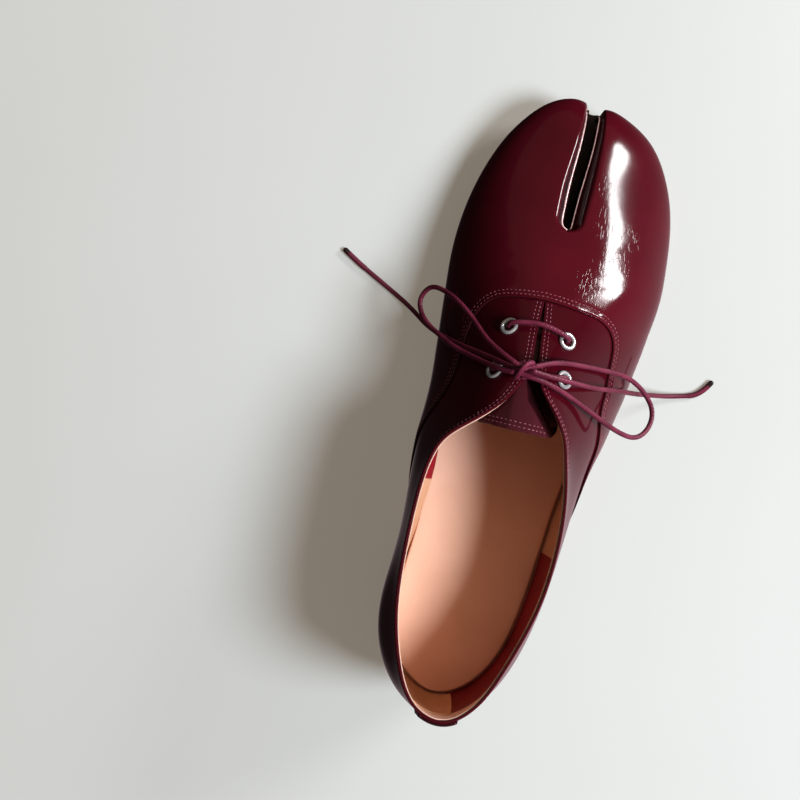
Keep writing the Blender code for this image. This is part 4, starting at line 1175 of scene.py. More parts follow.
def bar_route(start, end, between):
    """Points of a bar that rises out of one eyelet and goes down into another."""

    def rise(name, toward):
        point, normal = on_upper(name.split("_")[1], *EYELETS[name])
        along = np.array(toward) - point
        along -= normal * np.dot(along, normal)
        along /= np.linalg.norm(along)
        return [point + along * out + normal * up for out, up in BAR_RISE]

    return rise(start, between[0]) + between + rise(end, between[-1])[::-1]


def tip_route(cord, start, end):
    """Bent way of a tip that carries on from the end of its cord."""
    start = np.array(start)
    end = np.array(end)
    ahead = unit((start - np.array(cord[-2])) * (1.0, 1.0, 0.0))
    bend = start + ahead * TIP_BEND * np.linalg.norm(end - start)
    return [(1 - t)**2 * start + 2 * t * (1 - t) * bend + t**2 * end for t in np.linspace(0, 1, TIP_STEPS)]


def make_lace():
    """Bars through the eyelets, a wrapped knot, and the bow and ends as free cords."""
    for name, (start, end, between) in BARS.items():
        path = route_points(bar_route(start, end, between), BAR_STEP)
        piece(name + "_cord", tube(name, path, LACE_RADIUS), [CORD], [name])
    centre = np.array(KNOT_CENTRE)
    strands = []
    for k, points in enumerate(KNOT_STRANDS):
        path = route_points(centre + np.array(points), KNOT_STEP)
        strands.append(tube("knot_strand_%d" % k, path, LACE_RADIUS))
    knot = piece("lace_knot_wraps", joined("lace_knot_wraps", strands), [CORD], ["lace_knot"])
    for name, ends in LACE_TIPS.items():
        path = route_points(tip_route(LACE[name.replace("tip", "end")], *ends), TIP_STEP)
        mesh = tube(name, path, TIP_RADIUS)
        last = Vector(row_frame(path[-1:])[0])
        for polygon in mesh.polygons:
            polygon.material_index = int((polygon.center - last).length < TIP_DARK * MM)
        piece(name + "_sleeve", mesh, [CORD, TIP], [name])
    for name, points in LACE.items():
        path = route_points(points, FREE_STEP)
        cord = piece(name + "_cord", tube(name, path, LACE_RADIUS), [CORD], [name])


# Upper
def seam_of(stations):
    """Share of each rib where the vamp's edge lies, zero behind the wings."""
    feet = rib_shape(stations)[:, 1]
    return np.where(feet < SEAM[0][0], 0, seam_share(feet))


def rib_length(station):
    """Length of a rib from the sole to its top."""
    rib = dome(station, np.linspace(0, 1, LENGTH_SAMPLES))[0]
    return np.linalg.norm(np.diff(rib, axis=0), axis=1).sum()


def share_below(stations, distance):
    """Share of each rib at a distance below its top, along the leather."""
    shares = np.linspace(LOWEST_SHARE, 1, RIB_SAMPLES)
    found = []
    ribs = dome(stations, np.tile(shares, (len(stations), 1)))
    for rib, below in zip(ribs, np.broadcast_to(distance, len(stations))):
        run = running_length(rib[::-1])
        found.append(np.interp(below, run, shares[::-1]))
    return np.array(found)


def seam_feet(step):
    """Places along the foot of the ribs that meet the vamp's edge, about a step apart along it."""
    feet = np.linspace(SEAM[0][0], SEAM[-1][0], SIDE_SAMPLES)
    climb = np.abs(np.diff(seam_share(feet))) * SEAM_RUN
    return spaced(feet, np.hypot(np.diff(feet), climb), step)


def wing_stations(side, step):
    """Stations of the vamp's wing, from its end at the sole to the end of the slit."""
    found = station_at(side, seam_feet(step))
    found[-1] = SLIT_END[side]
    return found


def toe_stations(side, reach):
    """Stations from the root of the split to its mouth, close together where the lip turns."""
    root = station_of_top(side, SLOT_ROOT - reach)
    dense = np.linspace(root, mouth_station(side), TOE_SAMPLES)
    ends = lip_share(dense)
    ends[0] = 1
    weights = np.hypot(np.diff(dense), np.diff(ends) * rib_length(root))
    return spaced(dense, weights, VAMP_STEP_ALONG)


def lip_rows(ribs, ends):
    """Rows from the lip over its rolled edge and down the wall of the split."""
    start = dome(ribs, ends)[:, 0]
    normals = dome_normal(ribs, np.clip(ends, *LIP_RANGE))[:, 0]
    toward = slot_distance(start)[1]
    toward = np.column_stack([toward, np.zeros(len(toward))])
    toward[0] = (0, 1, 0)
    tangent = unit(toward - normals * np.sum(toward * normals, axis=1)[:, None])
    lip = slot_sizes(start[:, 1])[:, 1]
    shape = natural_spline(np.arange(len(LIP_PROFILE)), LIP_PROFILE)
    rows = []
    for over, below in shape(np.linspace(0, len(LIP_PROFILE) - 1, LIP_ROWS)):
        raised = VAMP_STEP * (1 - over)
        point = start + tangent * (lip * over)[:, None] + normals * (raised - lip * below)[:, None]
        point[:, 2] = np.maximum(point[:, 2], sole_top(point[:, 1]) + GAP)
        rows.append(point)
    edge = rows[-1]
    floor = edge.copy()
    floor[:, 2] = sole_top(edge[:, 1]) + GAP
    for share in np.linspace(0, 1, WALL_ROWS + 1)[1:]:
        rows.append(edge + (floor - edge) * share)
    return np.stack(rows, axis=1)


def crease_relief(points):
    """Depth of the listed creases at points, in millimetres."""
    depth = np.zeros(points.shape[:-1])
    for start_x, start_y, end_x, end_y, width, drop in CREASES:
        start = np.array([start_x, start_y])
        run = np.array([end_x, end_y]) - start
        length = np.linalg.norm(run)
        local = points[..., :2] - start
        along = (local @ run) / length**2
        off = (local[..., 0] * run[1] - local[..., 1] * run[0]) / length
        off = off + CREASE_BOW * length * np.sin(math.pi * np.clip(along, 0, 1))
        taper = np.clip(4 * along * (1 - along), 0, 1)
        depth += drop * np.exp(-(off / width)**2) * taper
    return depth


def seam_curve(step):
    """Dense stations and shares along the vamp's edge, from the inner wing's end to the outer's."""
    inner, outer = (wing_stations(side, step) for side in SIDES)
    shares = seam_share(seam_feet(step))
    return np.concatenate([inner, outer[::-1]]), np.concatenate([shares, shares[::-1]])


def stitch_trough(distance, rows):
    """Depth of the leather pulled down along stitch rows at a distance from an edge."""
    depth = np.zeros_like(distance)
    for row in rows:
        depth += TROUGH_DEPTH * np.exp(-((distance - row) / TROUGH_WIDTH)**2)
    return depth


def distance_to(points, line):
    """Distance of points from a line of points, in millimetres."""
    tree = KDTree(len(line))
    for k, p in enumerate(line):
        tree.insert(Vector(p), k)
    tree.balance()
    flat = points.reshape(-1, 3)
    return np.array([tree.find(Vector(p))[2] for p in flat]).reshape(points.shape[:-1])


def crackle_of(points):
    """How far the film is worn into streaks at points of the vamp."""
    amount = np.zeros(len(points))
    for x, y, radius, strength in CRACKLE:
        away = np.hypot(points[:, 0] - x, points[:, 1] - y) / radius
        amount = np.maximum(amount, strength * np.exp(-away**2))
    return amount


def make_vamp():
    """Vamp over the quarters, rolled into the split, with its creases and seam relief, and painted shade on
    the split's lip and wall.
    """
    reach = float(slot_sizes(np.array([SLOT_ROOT])).sum())
    bridge_tops = np.linspace(RIDGE[0][0], SLOT_ROOT - reach, BRIDGE_RIBS)
    edge_stations, edge_shares = seam_curve(SEAM_STEP)
    edge = dome(edge_stations, edge_shares)[:, 0]
    edge = edge + VAMP_STEP * dome_normal(edge_stations, np.minimum(edge_shares, TOP_SHARE))[:, 0]
    shares = np.linspace(0, 1, VAMP_ROWS + 1)
    points = []
    faces = []
    painted = []
    count = 0
    beads = []
    for side in SIDES:
        wing = wing_stations(side, VAMP_STEP_ALONG)
        bridge = station_of_top(side, bridge_tops)
        toe = toe_stations(side, reach)
        ribs = np.concatenate([wing[:-1], bridge[:-1], toe])
        ends = np.concatenate([seam_of(wing[:-1]), np.ones(len(bridge) - 1), lip_share(toe)])
        first_toe = len(wing) + len(bridge) - 2
        ends[first_toe] = 1
        ends[-1] = 0
        face = dome(ribs, ends[:, None] * shares)
        normal = dome_normal(ribs, ends[:, None] * shares)
        away = distance_to(face, edge)
        raise_by = VAMP_STEP - stitch_trough(away, SEAM_ROWS) - crease_relief(face)
        face = face + normal * raise_by[..., None]
        split = lip_rows(toe, ends[first_toe:])
        split[:, 0] = face[first_toe:, -1]
        beads.append(split[:, BEAD_ROW[side]])
        # The split's lip and wall, from the lip's shade row on, take the dark paint: painted shade inside
        # the split
        for grid, shade_from in ((face, VAMP_ROWS + 1), (split, LIP_SHADE_FROM[side])):
            if side == "medial":
                grid = grid[::-1]
            points.append(grid.reshape(-1, 3))
            quads = grid_faces(*grid.shape[:2], start=count)
            faces.append(quads)
            painted.append((quads[:, 0] - count) % grid.shape[1] >= shade_from)
            count += grid.shape[0] * grid.shape[1]
    points = np.concatenate(points)
    faces = np.concatenate(faces)
    mesh = mesh_of("vamp", row_frame(points), faces)
    mesh.polygons.foreach_set("material_index", np.concatenate(painted).astype(np.int32))
    clean(mesh, recalculate=False, smooth=SOFT_SMOOTH)
    worn = mesh.attributes.new("crackle", "FLOAT", "POINT")
    where = table_points([v.co for v in mesh.vertices])
    worn.data.foreach_set("value", crackle_of(where))
    vamp = piece("vamp", mesh, [PATENT, EDGE_PAINT_AND_SHADE], ["upper"])
    thick = vamp.modifiers.new("leather", "SOLIDIFY")
    thick.thickness = VAMP_THICK * MM
    thick.offset = -1
    thick.material_offset = 1
    thick.material_offset_rim = 1
    return surface_tree(row_frame(points), faces), beads


def layer_sections(stations, low, high, outer, inner, rows, cove=None):
    """Closed sections of a layer of the upper between two depths, coved inwards at the sole if asked."""
    thick = inner - outer
    rise = dome(stations, high) - dome(stations, high - SHARE_STEP)
    per_share = np.linalg.norm(rise[:, 0], axis=1) / SHARE_STEP
    top = high - thick / 2 / per_share
    spread = np.linspace(0, 1, rows)
    shares = low[:, None] + (top - low)[:, None] * spread
    face = dome(stations, shares)
    normal = dome_normal(stations, np.clip(shares, *SHARE_RANGE))
    front = face - normal * outer
    back_shares = shares[:, ::max(1, rows // INNER_ROWS)]
    depth = np.full(back_shares.shape, inner)
    if cove is not None:
        depth += cove[:, None] * np.clip(1 - back_shares / COVE_SHARE, 0, 1)**2
    back_normal = dome_normal(stations, np.clip(back_shares, *SHARE_RANGE))
    back = dome(stations, back_shares) - back_normal * depth[..., None]
    end = dome(stations, top)[:, 0]
    end_normal = dome_normal(stations, np.clip(top, *SHARE_RANGE))[:, 0]
    up = unit(rise[:, 0])
    middle = end - end_normal * (outer + thick / 2)
    turns = np.linspace(0, math.pi, RIM_ROWS + 1)[1:-1]
    rim = [middle + (end_normal * math.cos(t) + up * math.sin(t)) * thick / 2 for t in turns]
    return np.concatenate([front, np.stack(rim, axis=1), back[:, ::-1]], axis=1), shares


def make_quarters():
    """Quarters with folded top edges: heel, collar and facings in one sweep."""
    feet = np.linspace(SLIT_END["medial"], SLIT_END["lateral"], QUARTER_RIBS)
    seam = seam_of(feet)
    lengths = np.array([rib_length(s) for s in feet])
    low = np.clip(seam - UNDERLAP / lengths, 0, 1)
    high = np.ones(len(feet))
    sections, shares = layer_sections(feet, low, high, 0.0, QUARTER_THICK, QUARTER_ROWS)
    edge = rib_top(feet)
    face = sections[:, :QUARTER_ROWS]
    away = distance_to(face, edge)
    rows = stitch_trough(away, EDGE_ROWS)
    back = rib_top(feet)[:, 1] < FACING_END
    rows[back] = stitch_trough(away[back], EDGE_ROWS[:1])
    normal = dome_normal(feet, np.clip(shares, *SHARE_RANGE))
    sections[:, :QUARTER_ROWS] = face - normal * rows[..., None]
    mesh = loft("quarters", sections, LEATHER_SMOOTH)
    piece("quarters", mesh, [PATENT])
    points = sections[:, :QUARTER_ROWS].reshape(-1, 3)
    return surface_tree(row_frame(points), grid_faces(len(feet), QUARTER_ROWS))


def band_height(stations):
    """Height of the pale band below the collar at stations, taller on the outer side."""
    ends = (HEEL_STATION - BAND_BLEND, HEEL_STATION + BAND_BLEND)
    return np.interp(stations, ends, [BAND_HEIGHT[side] for side in SIDES])


def make_lining():
    """Crimson and tan lining panels, the pale band along the collar and the heel grip."""
    inner = QUARTER_THICK + LINING_THICK
    inner_seam, outer_seam = (float(station_at(side, y)) for side, y in LINING_SEAMS.items())
    panels = [
        ("lining_inner_front", SLIT_END["medial"], inner_seam, CRIMSON),
        ("lining_inner_back", inner_seam, HEEL_STATION + HEEL_SEAM, TAN),
        ("lining_outer_back", HEEL_STATION + HEEL_SEAM, outer_seam, CRIMSON),
        ("lining_outer_front", outer_seam, SLIT_END["lateral"], TAN),
    ]
    for name, start, end, material in panels:
        feet = np.linspace(start, end, PANEL_RIBS)
        low = np.zeros(len(feet))
        high = share_below(feet, band_height(feet)) + BAND_LAP
        cove = np.zeros(len(feet))
        if "inner" in name:
            cove = np.interp(rib_shape(feet)[:, 1], *zip(*COVE))
        sections, _ = layer_sections(feet, low, high, QUARTER_THICK, inner, PANEL_ROWS, cove)
        piece(name, loft(name, sections, LEATHER_SMOOTH), [material])
    feet = np.linspace(SLIT_END["medial"], SLIT_END["lateral"], BAND_RIBS)
    band = share_below(feet, band_height(feet))
    on_inner = feet < HEEL_STATION
    top = np.where(on_inner, *(share_below(feet, RIM_BELOW[side]) for side in SIDES))
    sections, _ = layer_sections(feet, band, top, QUARTER_THICK, inner + BAND_PROUD, BAND_ROWS)
    piece("collar_band", loft("collar_band", sections, LEATHER_SMOOTH), [BLUSH])
    grip = np.linspace(HEEL_STATION + GRIP_ENDS[0], HEEL_STATION + GRIP_ENDS[1], GRIP_RIBS)
    low = np.full(len(grip), GRIP_FROM)
    high = share_below(grip, GRIP_BELOW)
    sections, _ = layer_sections(grip, low, high, inner, inner + GRIP_THICK, GRIP_ROWS)
    piece("heel_grip", loft("heel_grip", sections, LEATHER_SMOOTH), [GRIP])


def make_toe_lining():
    """Lining on the vamp's inner face, from the slit to the toes."""
    points = []
    faces = []
    count = 0
    for side in SIDES:
        ribs = np.linspace(SLIT_END[side], mouth_station(side), TOE_LINING_RIBS)[:-TOE_LINING_SHORT]
        ends = np.where(ribs == SLIT_END[side], 1.0, lip_share(ribs))
        shares = ends[:, None] * np.linspace(TOE_LINING_FROM, 1, TOE_LINING_ROWS)
        normal = dome_normal(ribs, np.clip(shares, *LINING_RANGE))
        grid = dome(ribs, shares) - normal * TOE_LINING_DEPTH
        if side == "medial":
            grid = grid[::-1]
        points.append(grid.reshape(-1, 3))
        faces.append(grid_faces(*grid.shape[:2], start=count))
        count += grid.shape[0] * grid.shape[1]
    mesh = mesh_of("toe_lining", row_frame(np.concatenate(points)), np.concatenate(faces))
    clean(mesh, recalculate=False, smooth=SOFT_SMOOTH)
    toe = piece("toe_lining", mesh, [CRIMSON])
    thick = toe.modifiers.new("lining", "SOLIDIFY")
    thick.thickness = (WALL - TOE_LINING_DEPTH) * MM
    thick.offset = -1


def make_split_bead(beads):
    """Fine rolled edge inside the split, down one wall, round the root and up the other."""
    medial, lateral = beads
    line = np.concatenate([medial[::-1], lateral[1:]])
    keep = line[:, 2] > sole_top(line[:, 1]) + BEAD_CLEAR
    path = line[keep]
    run = running_length(path)
    count = int(run[-1] / BEAD_STEP)
    even = np.stack([np.interp(np.linspace(0, run[-1], count), run, path[:, k]) for k in range(3)], axis=1)
    piece("split_bead", tube("split_bead", even, BEAD_RADIUS, BEAD_SIDES), [BEAD_PAINTED_HIGHLIGHT])


# Tongue, heel tab, insole
def tongue_row(y):
    """Points across the tongue's outer face at a place along the foot, before its fold."""
    at = max(y, TONGUE_TOP)
    share = (y - TONGUE_END) / (TONGUE_FRONT - TONGUE_END)
    half = TONGUE_HALF_END + (TONGUE_HALF_FRONT - TONGUE_HALF_END) * share
    rows = []
    for side, way in (("medial", -1), ("lateral", 1)):
        across = TONGUE_MIDDLE + way * half * np.array(TONGUE_SHARES)
        found = [on_upper(side, x, at) for x in across]
        rows += found if way < 0 else found[::-1]
    points = np.array([p for p, _ in rows])
    normals = np.array([n for _, n in rows])
    points = points - normals * (WALL + TONGUE_CLEAR)
    points[:, 1] = y
    points[:, 2] += TONGUE_RISE * (at - y)
    return points


def fold_line(y):
    """Place across the tongue where its outer side folds down."""
    return np.interp(y, *zip(*TONGUE_FOLD))


def make_tongue():
    """Tongue under the facings, with a straight stitched end behind the slit and a folded outer side
    painted dark as shade.
    """
    under_facings = np.linspace(TONGUE_TOP, TONGUE_FRONT, TONGUE_STATIONS)
    stations = np.concatenate([[TONGUE_END, TONGUE_BEND], under_facings])
    rows = np.array([tongue_row(y) for y in stations])
    edge_places = [TONGUE_END, TONGUE_END + TONGUE_EDGE[0]]
    places = np.linspace(TONGUE_END + TONGUE_EDGE[1], TONGUE_FRONT, TONGUE_ROWS)
    places = np.concatenate([edge_places, places])
    by_row = natural_spline(stations, rows.reshape(len(stations), -1))(places)
    by_row = by_row.reshape(len(places), -1, 3)
    fold = fold_line(places)[:, None]
    dense = np.linspace(0, by_row.shape[1] - 1, TONGUE_SAMPLES)
    columns = []
    for row, edge in zip(by_row, fold[:, 0] + FOLD_EDGE):
        curve = natural_spline(np.arange(len(row)), row)
        at_fold = np.interp(edge, curve(dense)[:, 0], dense)
        before = np.linspace(0, at_fold, FOLD_COLUMN + 1)
        beyond = np.linspace(at_fold, dense[-1], TONGUE_ACROSS - FOLD_COLUMN)
        columns.append(curve(np.concatenate([before, beyond[1:]])))
    face = np.stack(columns)
    outwards = np.clip(1 - (face[:, -1:, 0] - face[..., 0]) / FOLD_CORNER, 0, 1)
    from_corner = np.clip(1 - (places - TONGUE_END) / CORNER_RUN, 0, 1)[:, None]
    drawn_in = FOLD_CORNER * (1 - np.sqrt(1 - outwards**2)) * from_corner
    face[..., 1] += drawn_in
    face[..., 2] -= TONGUE_RISE * drawn_in
    past = np.clip((face[..., 0] - fold) / FOLD_RUN, 0, 1)
    fade = np.interp(places, FOLD_FADE, (1.0, 0.0))[:, None]
    face[..., 2] -= FOLD_DROP * fade * past
    normal = unit(np.cross(np.gradient(face, axis=1), (0.0, 1.0, 0.0)))
    from_end = np.broadcast_to((places - TONGUE_END)[:, None], face.shape[:2])
    dip = stitch_trough(from_end, TONGUE_STITCH_ROWS)
    round_off = TONGUE_ROUND * np.clip(1 - from_end / TONGUE_EDGE[1], 0, 1)**2
    outer = face - normal * (dip + round_off)[..., None]
    below = face - normal * (TONGUE_THICK - round_off)[..., None]
    sections = np.concatenate([outer, below[:, ::-1]], axis=1)
    mesh = loft("tongue_leather", sections, STRIP_SMOOTH)
    # Painted shade: the faces past the fold, where the outer side turns down under the facing, take the
    # dark paint
    for polygon in mesh.polygons:
        x, y, _ = table_points(polygon.center)
        polygon.material_index = int(x > fold_line(y) + FOLD_EDGE and y < FOLD_FADE[0])
    piece("tongue_leather", mesh, [TONGUE_PATENT, EDGE_PAINT_AND_SHADE], ["tongue"])
    return surface_tree(row_frame(outer.reshape(-1, 3)), grid_faces(*outer.shape[:2])), outer


def make_heel_tab():
    """Strip over the top of the back seam, with rounded edges."""
    ribs = np.linspace(HEEL_STATION - TAB_WIDTH / 2, HEEL_STATION + TAB_WIDTH / 2, TAB_RIBS)
    shares = np.linspace(TAB_FROM, 1, TAB_ROWS)
    grid = np.tile(shares, (len(ribs), 1))
    face = dome(ribs, grid)
    normal = dome_normal(ribs, grid)
    side = np.minimum(ribs - ribs[0], ribs[-1] - ribs)[:, None]
    end = np.minimum(shares - shares[0], shares[-1] - shares)[None, :] * rib_length(HEEL_STATION)
    rim = np.clip(np.minimum(side, end) / TAB_ROUND, 0, 1)
    height = TAB_THICK * (TAB_RIM + (1 - TAB_RIM) * np.sqrt(1 - (1 - rim)**2))
    outer = face + normal * height[..., None]
    inner = face - normal * TAB_SINK
    sections = np.concatenate([outer, inner[:, ::-1]], axis=1)
    mesh = loft("heel_tab_strip", sections, STRIP_SMOOTH)
    piece("heel_tab_strip", mesh, [TAB_PATENT], ["heel_tab"])
    return surface_tree(row_frame(outer.reshape(-1, 3)), grid_faces(*outer.shape[:2])), face


def eased(start, end, count):
    """Places from start to end, closer together at both ends."""
    turn = np.linspace(0, math.pi, count)
    return start + (end - start) * (1 - np.cos(turn)) / 2


def outline_span(y, offset):
    """Inner and outer edge of the feather line moved out by offset, at places along the foot."""
    spans = []
    for side in SIDES:
        dense = side_stations(side)
        ahead = rib_shape(dense + SMALL_STEP)[:, :2] - rib_shape(dense - SMALL_STEP)[:, :2]
        out = np.stack([ahead[:, 1], -ahead[:, 0]], axis=1)
        edge = rib_shape(dense)[:, :2] + offset * out / np.linalg.norm(out, axis=1)[:, None]
        tip = np.argmax(edge[:, 1])
        spans.append(np.interp(y, edge[:tip, 1], edge[:tip, 0]))
    return np.stack(spans, axis=-1)


def foot_places(offset, count):
    """Places along the foot from heel back to toe tip for a plate moved out by offset."""
    heel = rib_shape(HEEL_STATION)[0, 1] - offset
    tips = []
    for side in SIDES:
        tips.append(rib_shape(side_stations(side))[:, 1].max() + offset)
    return eased(heel + TIP_CLEAR, min(tips) - TIP_CLEAR, count)


def plate_sections(ys, offset, low, high, rounding, across):
    """Sections across the foot of a plate with rounded edges between two height functions."""
    turns = np.linspace(0, math.pi / 2, CORNER_STEPS)
    sections = []
    for (inner, outer), bottom, top, y in zip(outline_span(ys, offset), low(ys), high(ys), ys):
        r = min(rounding, ROUND_WIDE * (outer - inner), ROUND_TALL * (top - bottom))
        corner = [(r * (1 - math.cos(t)), r * (1 - math.sin(t))) for t in turns]
        flat = np.linspace(inner + r, outer - r, across)[1:-1]
        outline = [(inner + dx, top - dz) for dx, dz in corner]
        outline += [(x, top) for x in flat]
        outline += [(outer - dx, top - dz) for dx, dz in reversed(corner)]
        outline += [(outer - dx, bottom + dz) for dx, dz in corner]
        outline += [(x, bottom) for x in flat[::-1]]
        outline += [(inner + dx, bottom + dz) for dx, dz in reversed(corner)]
        sections.append([(x, y, z) for x, z in outline])
    return sections


def prism(name, outline, low, high):
    """Upright cutter over a plan outline."""
    floor = [(x, y, low) for x, y in outline]
    lid = [(x, y, high) for x, y in outline]
    mesh = loft(name, [floor, lid], SHARP_SMOOTH)
    return bpy.data.objects.new(name, mesh)


def cut_mesh(name, mesh, cutter):
    """Mesh with a cutter's shape taken out."""
    obj = bpy.data.objects.new(name, mesh)
    for item in (obj, cutter):
        bpy.context.scene.collection.objects.link(item)
    boolean = obj.modifiers.new("cut", "BOOLEAN")
    boolean.operation = "DIFFERENCE"
    boolean.object = cutter
    result = bpy.data.meshes.new_from_object(obj.evaluated_get(bpy.context.evaluated_depsgraph_get()))
    for item in (obj, cutter):
        bpy.data.objects.remove(item)
    result.name = name
    result.shade_smooth()
    result.set_sharp_from_angle(angle=math.radians(EDGE_SMOOTH))
    return result


def slot_outline(margin):
    """Plan outline of the split widened by a margin, open past the toe."""
    ys = np.linspace(SLOT_ROOT, SHOE_LENGTH + SLOT_BEYOND, SLOT_STEPS)
    centre, half, _ = slot_line(np.minimum(ys, SHOE_LENGTH)).T
    turns = np.linspace(math.pi, 2 * math.pi, SLOT_ROOT_STEPS)[1:-1]
    radius = half[0] + margin
    root = [(centre[0] + radius * math.cos(t), SLOT_ROOT + radius * math.sin(t)) for t in turns]
    left = [(c - h - margin, y) for c, h, y in zip(centre, half, ys)]
    right = [(c + h + margin, y) for c, h, y in zip(centre, half, ys)]
    return left[::-1] + root + right


def make_outsole():
    """Thin leather sole with heel seat, arch, flat ball, toe spring and a dip between the toes."""
    ys = foot_places(SOLE_EDGE, SOLE_SECTIONS)
    sections = plate_sections(
        ys, SOLE_EDGE, lambda y: sole_top(y) - SOLE_THICK, sole_top, SOLE_ROUND, SOLE_ACROSS
    )
    mesh = loft("outsole_leather", sections)
    centre = TOE_RIBS["medial"][-1]
    turns = np.linspace(0, 2 * math.pi, TOE_DIP_STEPS, endpoint=False)
    dip_y = SHOE_LENGTH + TOE_DIP_RADIUS - TOE_DIP_DEPTH
    dip = [(centre[0] + TOE_DIP_RADIUS * math.cos(t), dip_y + TOE_DIP_RADIUS * math.sin(t)) for t in turns]
    mesh = cut_mesh("outsole_leather", mesh, prism("toe_dip", dip, CUT_LOW, CUT_HIGH))
    # Painted shade: the sole's faces that look up inside the split take the dark paint
    for face in mesh.polygons:
        x, y, _ = table_points(face.center)
        in_split = SLOT_ROOT - SPLIT_SHADE_REACH < y and abs(x - float(slot_line(y)[0, 0])) < SPLIT_SHADE_REACH
        face.material_index = int(in_split and face.normal.z > FACES_UP)
    piece("outsole_leather", mesh, [SOLE, EDGE_PAINT_AND_SHADE], ["outsole"])


def make_insole():
    """Tan sock on the sole inside the upper, notched round the split."""
    ys = foot_places(-INSOLE_INSET, INSOLE_SECTIONS)
    sections = plate_sections(
        ys, -INSOLE_INSET, lambda y: sole_top(y) + GAP, lambda y: sole_top(y) + GAP + INSOLE_THICK,
        INSOLE_ROUND, INSOLE_ACROSS,
    )
    mesh = loft("insole_sock", sections)
    notch = prism("insole_notch", slot_outline(INSOLE_NOTCH), CUT_LOW, CUT_HIGH)
    mesh = cut_mesh("insole_sock", mesh, notch)
    piece("insole_sock", mesh, [INSOLE], ["insole"])


def heel_ring(offset, breast):
    """Plan outline of the heel: along the inner side, round the back and along the outer side."""
    start = rib_shape(HEEL_STATION)[0, 1] - offset + TIP_CLEAR
    ys = start + (breast - start) * (1 - np.cos(np.linspace(0, math.pi / 2, HEEL_STEPS)))
    inner, outer = outline_span(ys, offset).T
    return np.concatenate([np.column_stack([inner, ys])[::-1], np.column_stack([outer, ys])])


def make_heel():
    """Stacked heel with its layers showing as fine grooves, and its rubber lift."""
    low = LIFT_THICK + GAP
    rings = []
    for layer in range(HEEL_LAYERS):
        for inside, inset in LAYER_EDGE:
            share = (layer + inside) / HEEL_LAYERS
            taper = HEEL_TAPER * (1 - share)
            outline = heel_ring(HEEL_EDGE - taper - inset, HEEL_BREAST - taper / 2 - inset)
            seat = sole_top(outline[:, 1]) - SOLE_THICK - GAP
            rings.append(np.column_stack([outline, low + (seat - low) * share]))
    mesh = loft("heel_stack_layers", rings, SHARP_SMOOTH)
    piece("heel_stack_layers", mesh, [STACK], ["heel_block"])
    rings = []
    for height, inset in LIFT_EDGE:
        taper = HEEL_TAPER * (LIFT_TAPER - LIFT_TAPER_LOSS * height / LIFT_THICK)
        outline = heel_ring(HEEL_EDGE - taper - inset, HEEL_BREAST - taper / 2 - inset)
        rings.append(np.column_stack([outline, np.full(len(outline), height)]))
    mesh = loft("heel_lift_rubber", rings, SHARP_SMOOTH)
    piece("heel_lift_rubber", mesh, [RUBBER], ["heel_lift"])


def make_eyelets():
    """Rolled metal rings, each turned from one profile."""
    inner, outer, depth = EYELET_BARREL
    middle, height, roll = EYELET_ROLL
    tuck_in, tuck_down = EYELET_TUCK
    turns = np.linspace(math.pi, 0, EYELET_ROLL_STEPS)
    profile = [(inner, depth), (inner, height - EYELET_THROAT)]
    profile += [(middle + roll * math.cos(t), height + roll * math.sin(t)) for t in turns]
    profile += [(middle + roll - tuck_in, height - tuck_down)]
    profile += [(outer, height - EYELET_UNDER), (outer, depth)]
    for name, (x, y) in EYELETS.items():
        point, normal = on_upper(name.split("_")[1], x, y)
        across = unit(np.cross(normal, (0.0, 1.0, 0.0)))
        ahead = np.cross(normal, across)
        sections = []
        for turn in np.linspace(0, 2 * math.pi, EYELET_STEPS + 1):
            way = across * math.cos(turn) + ahead * math.sin(turn)
            sections.append([point + way * radius + normal * up for radius, up in profile])
        mesh = loft("eyelet_ring_" + name, sections, capped=False)
        piece("eyelet_ring_" + name, mesh, [STEEL], ["eyelet_" + name])


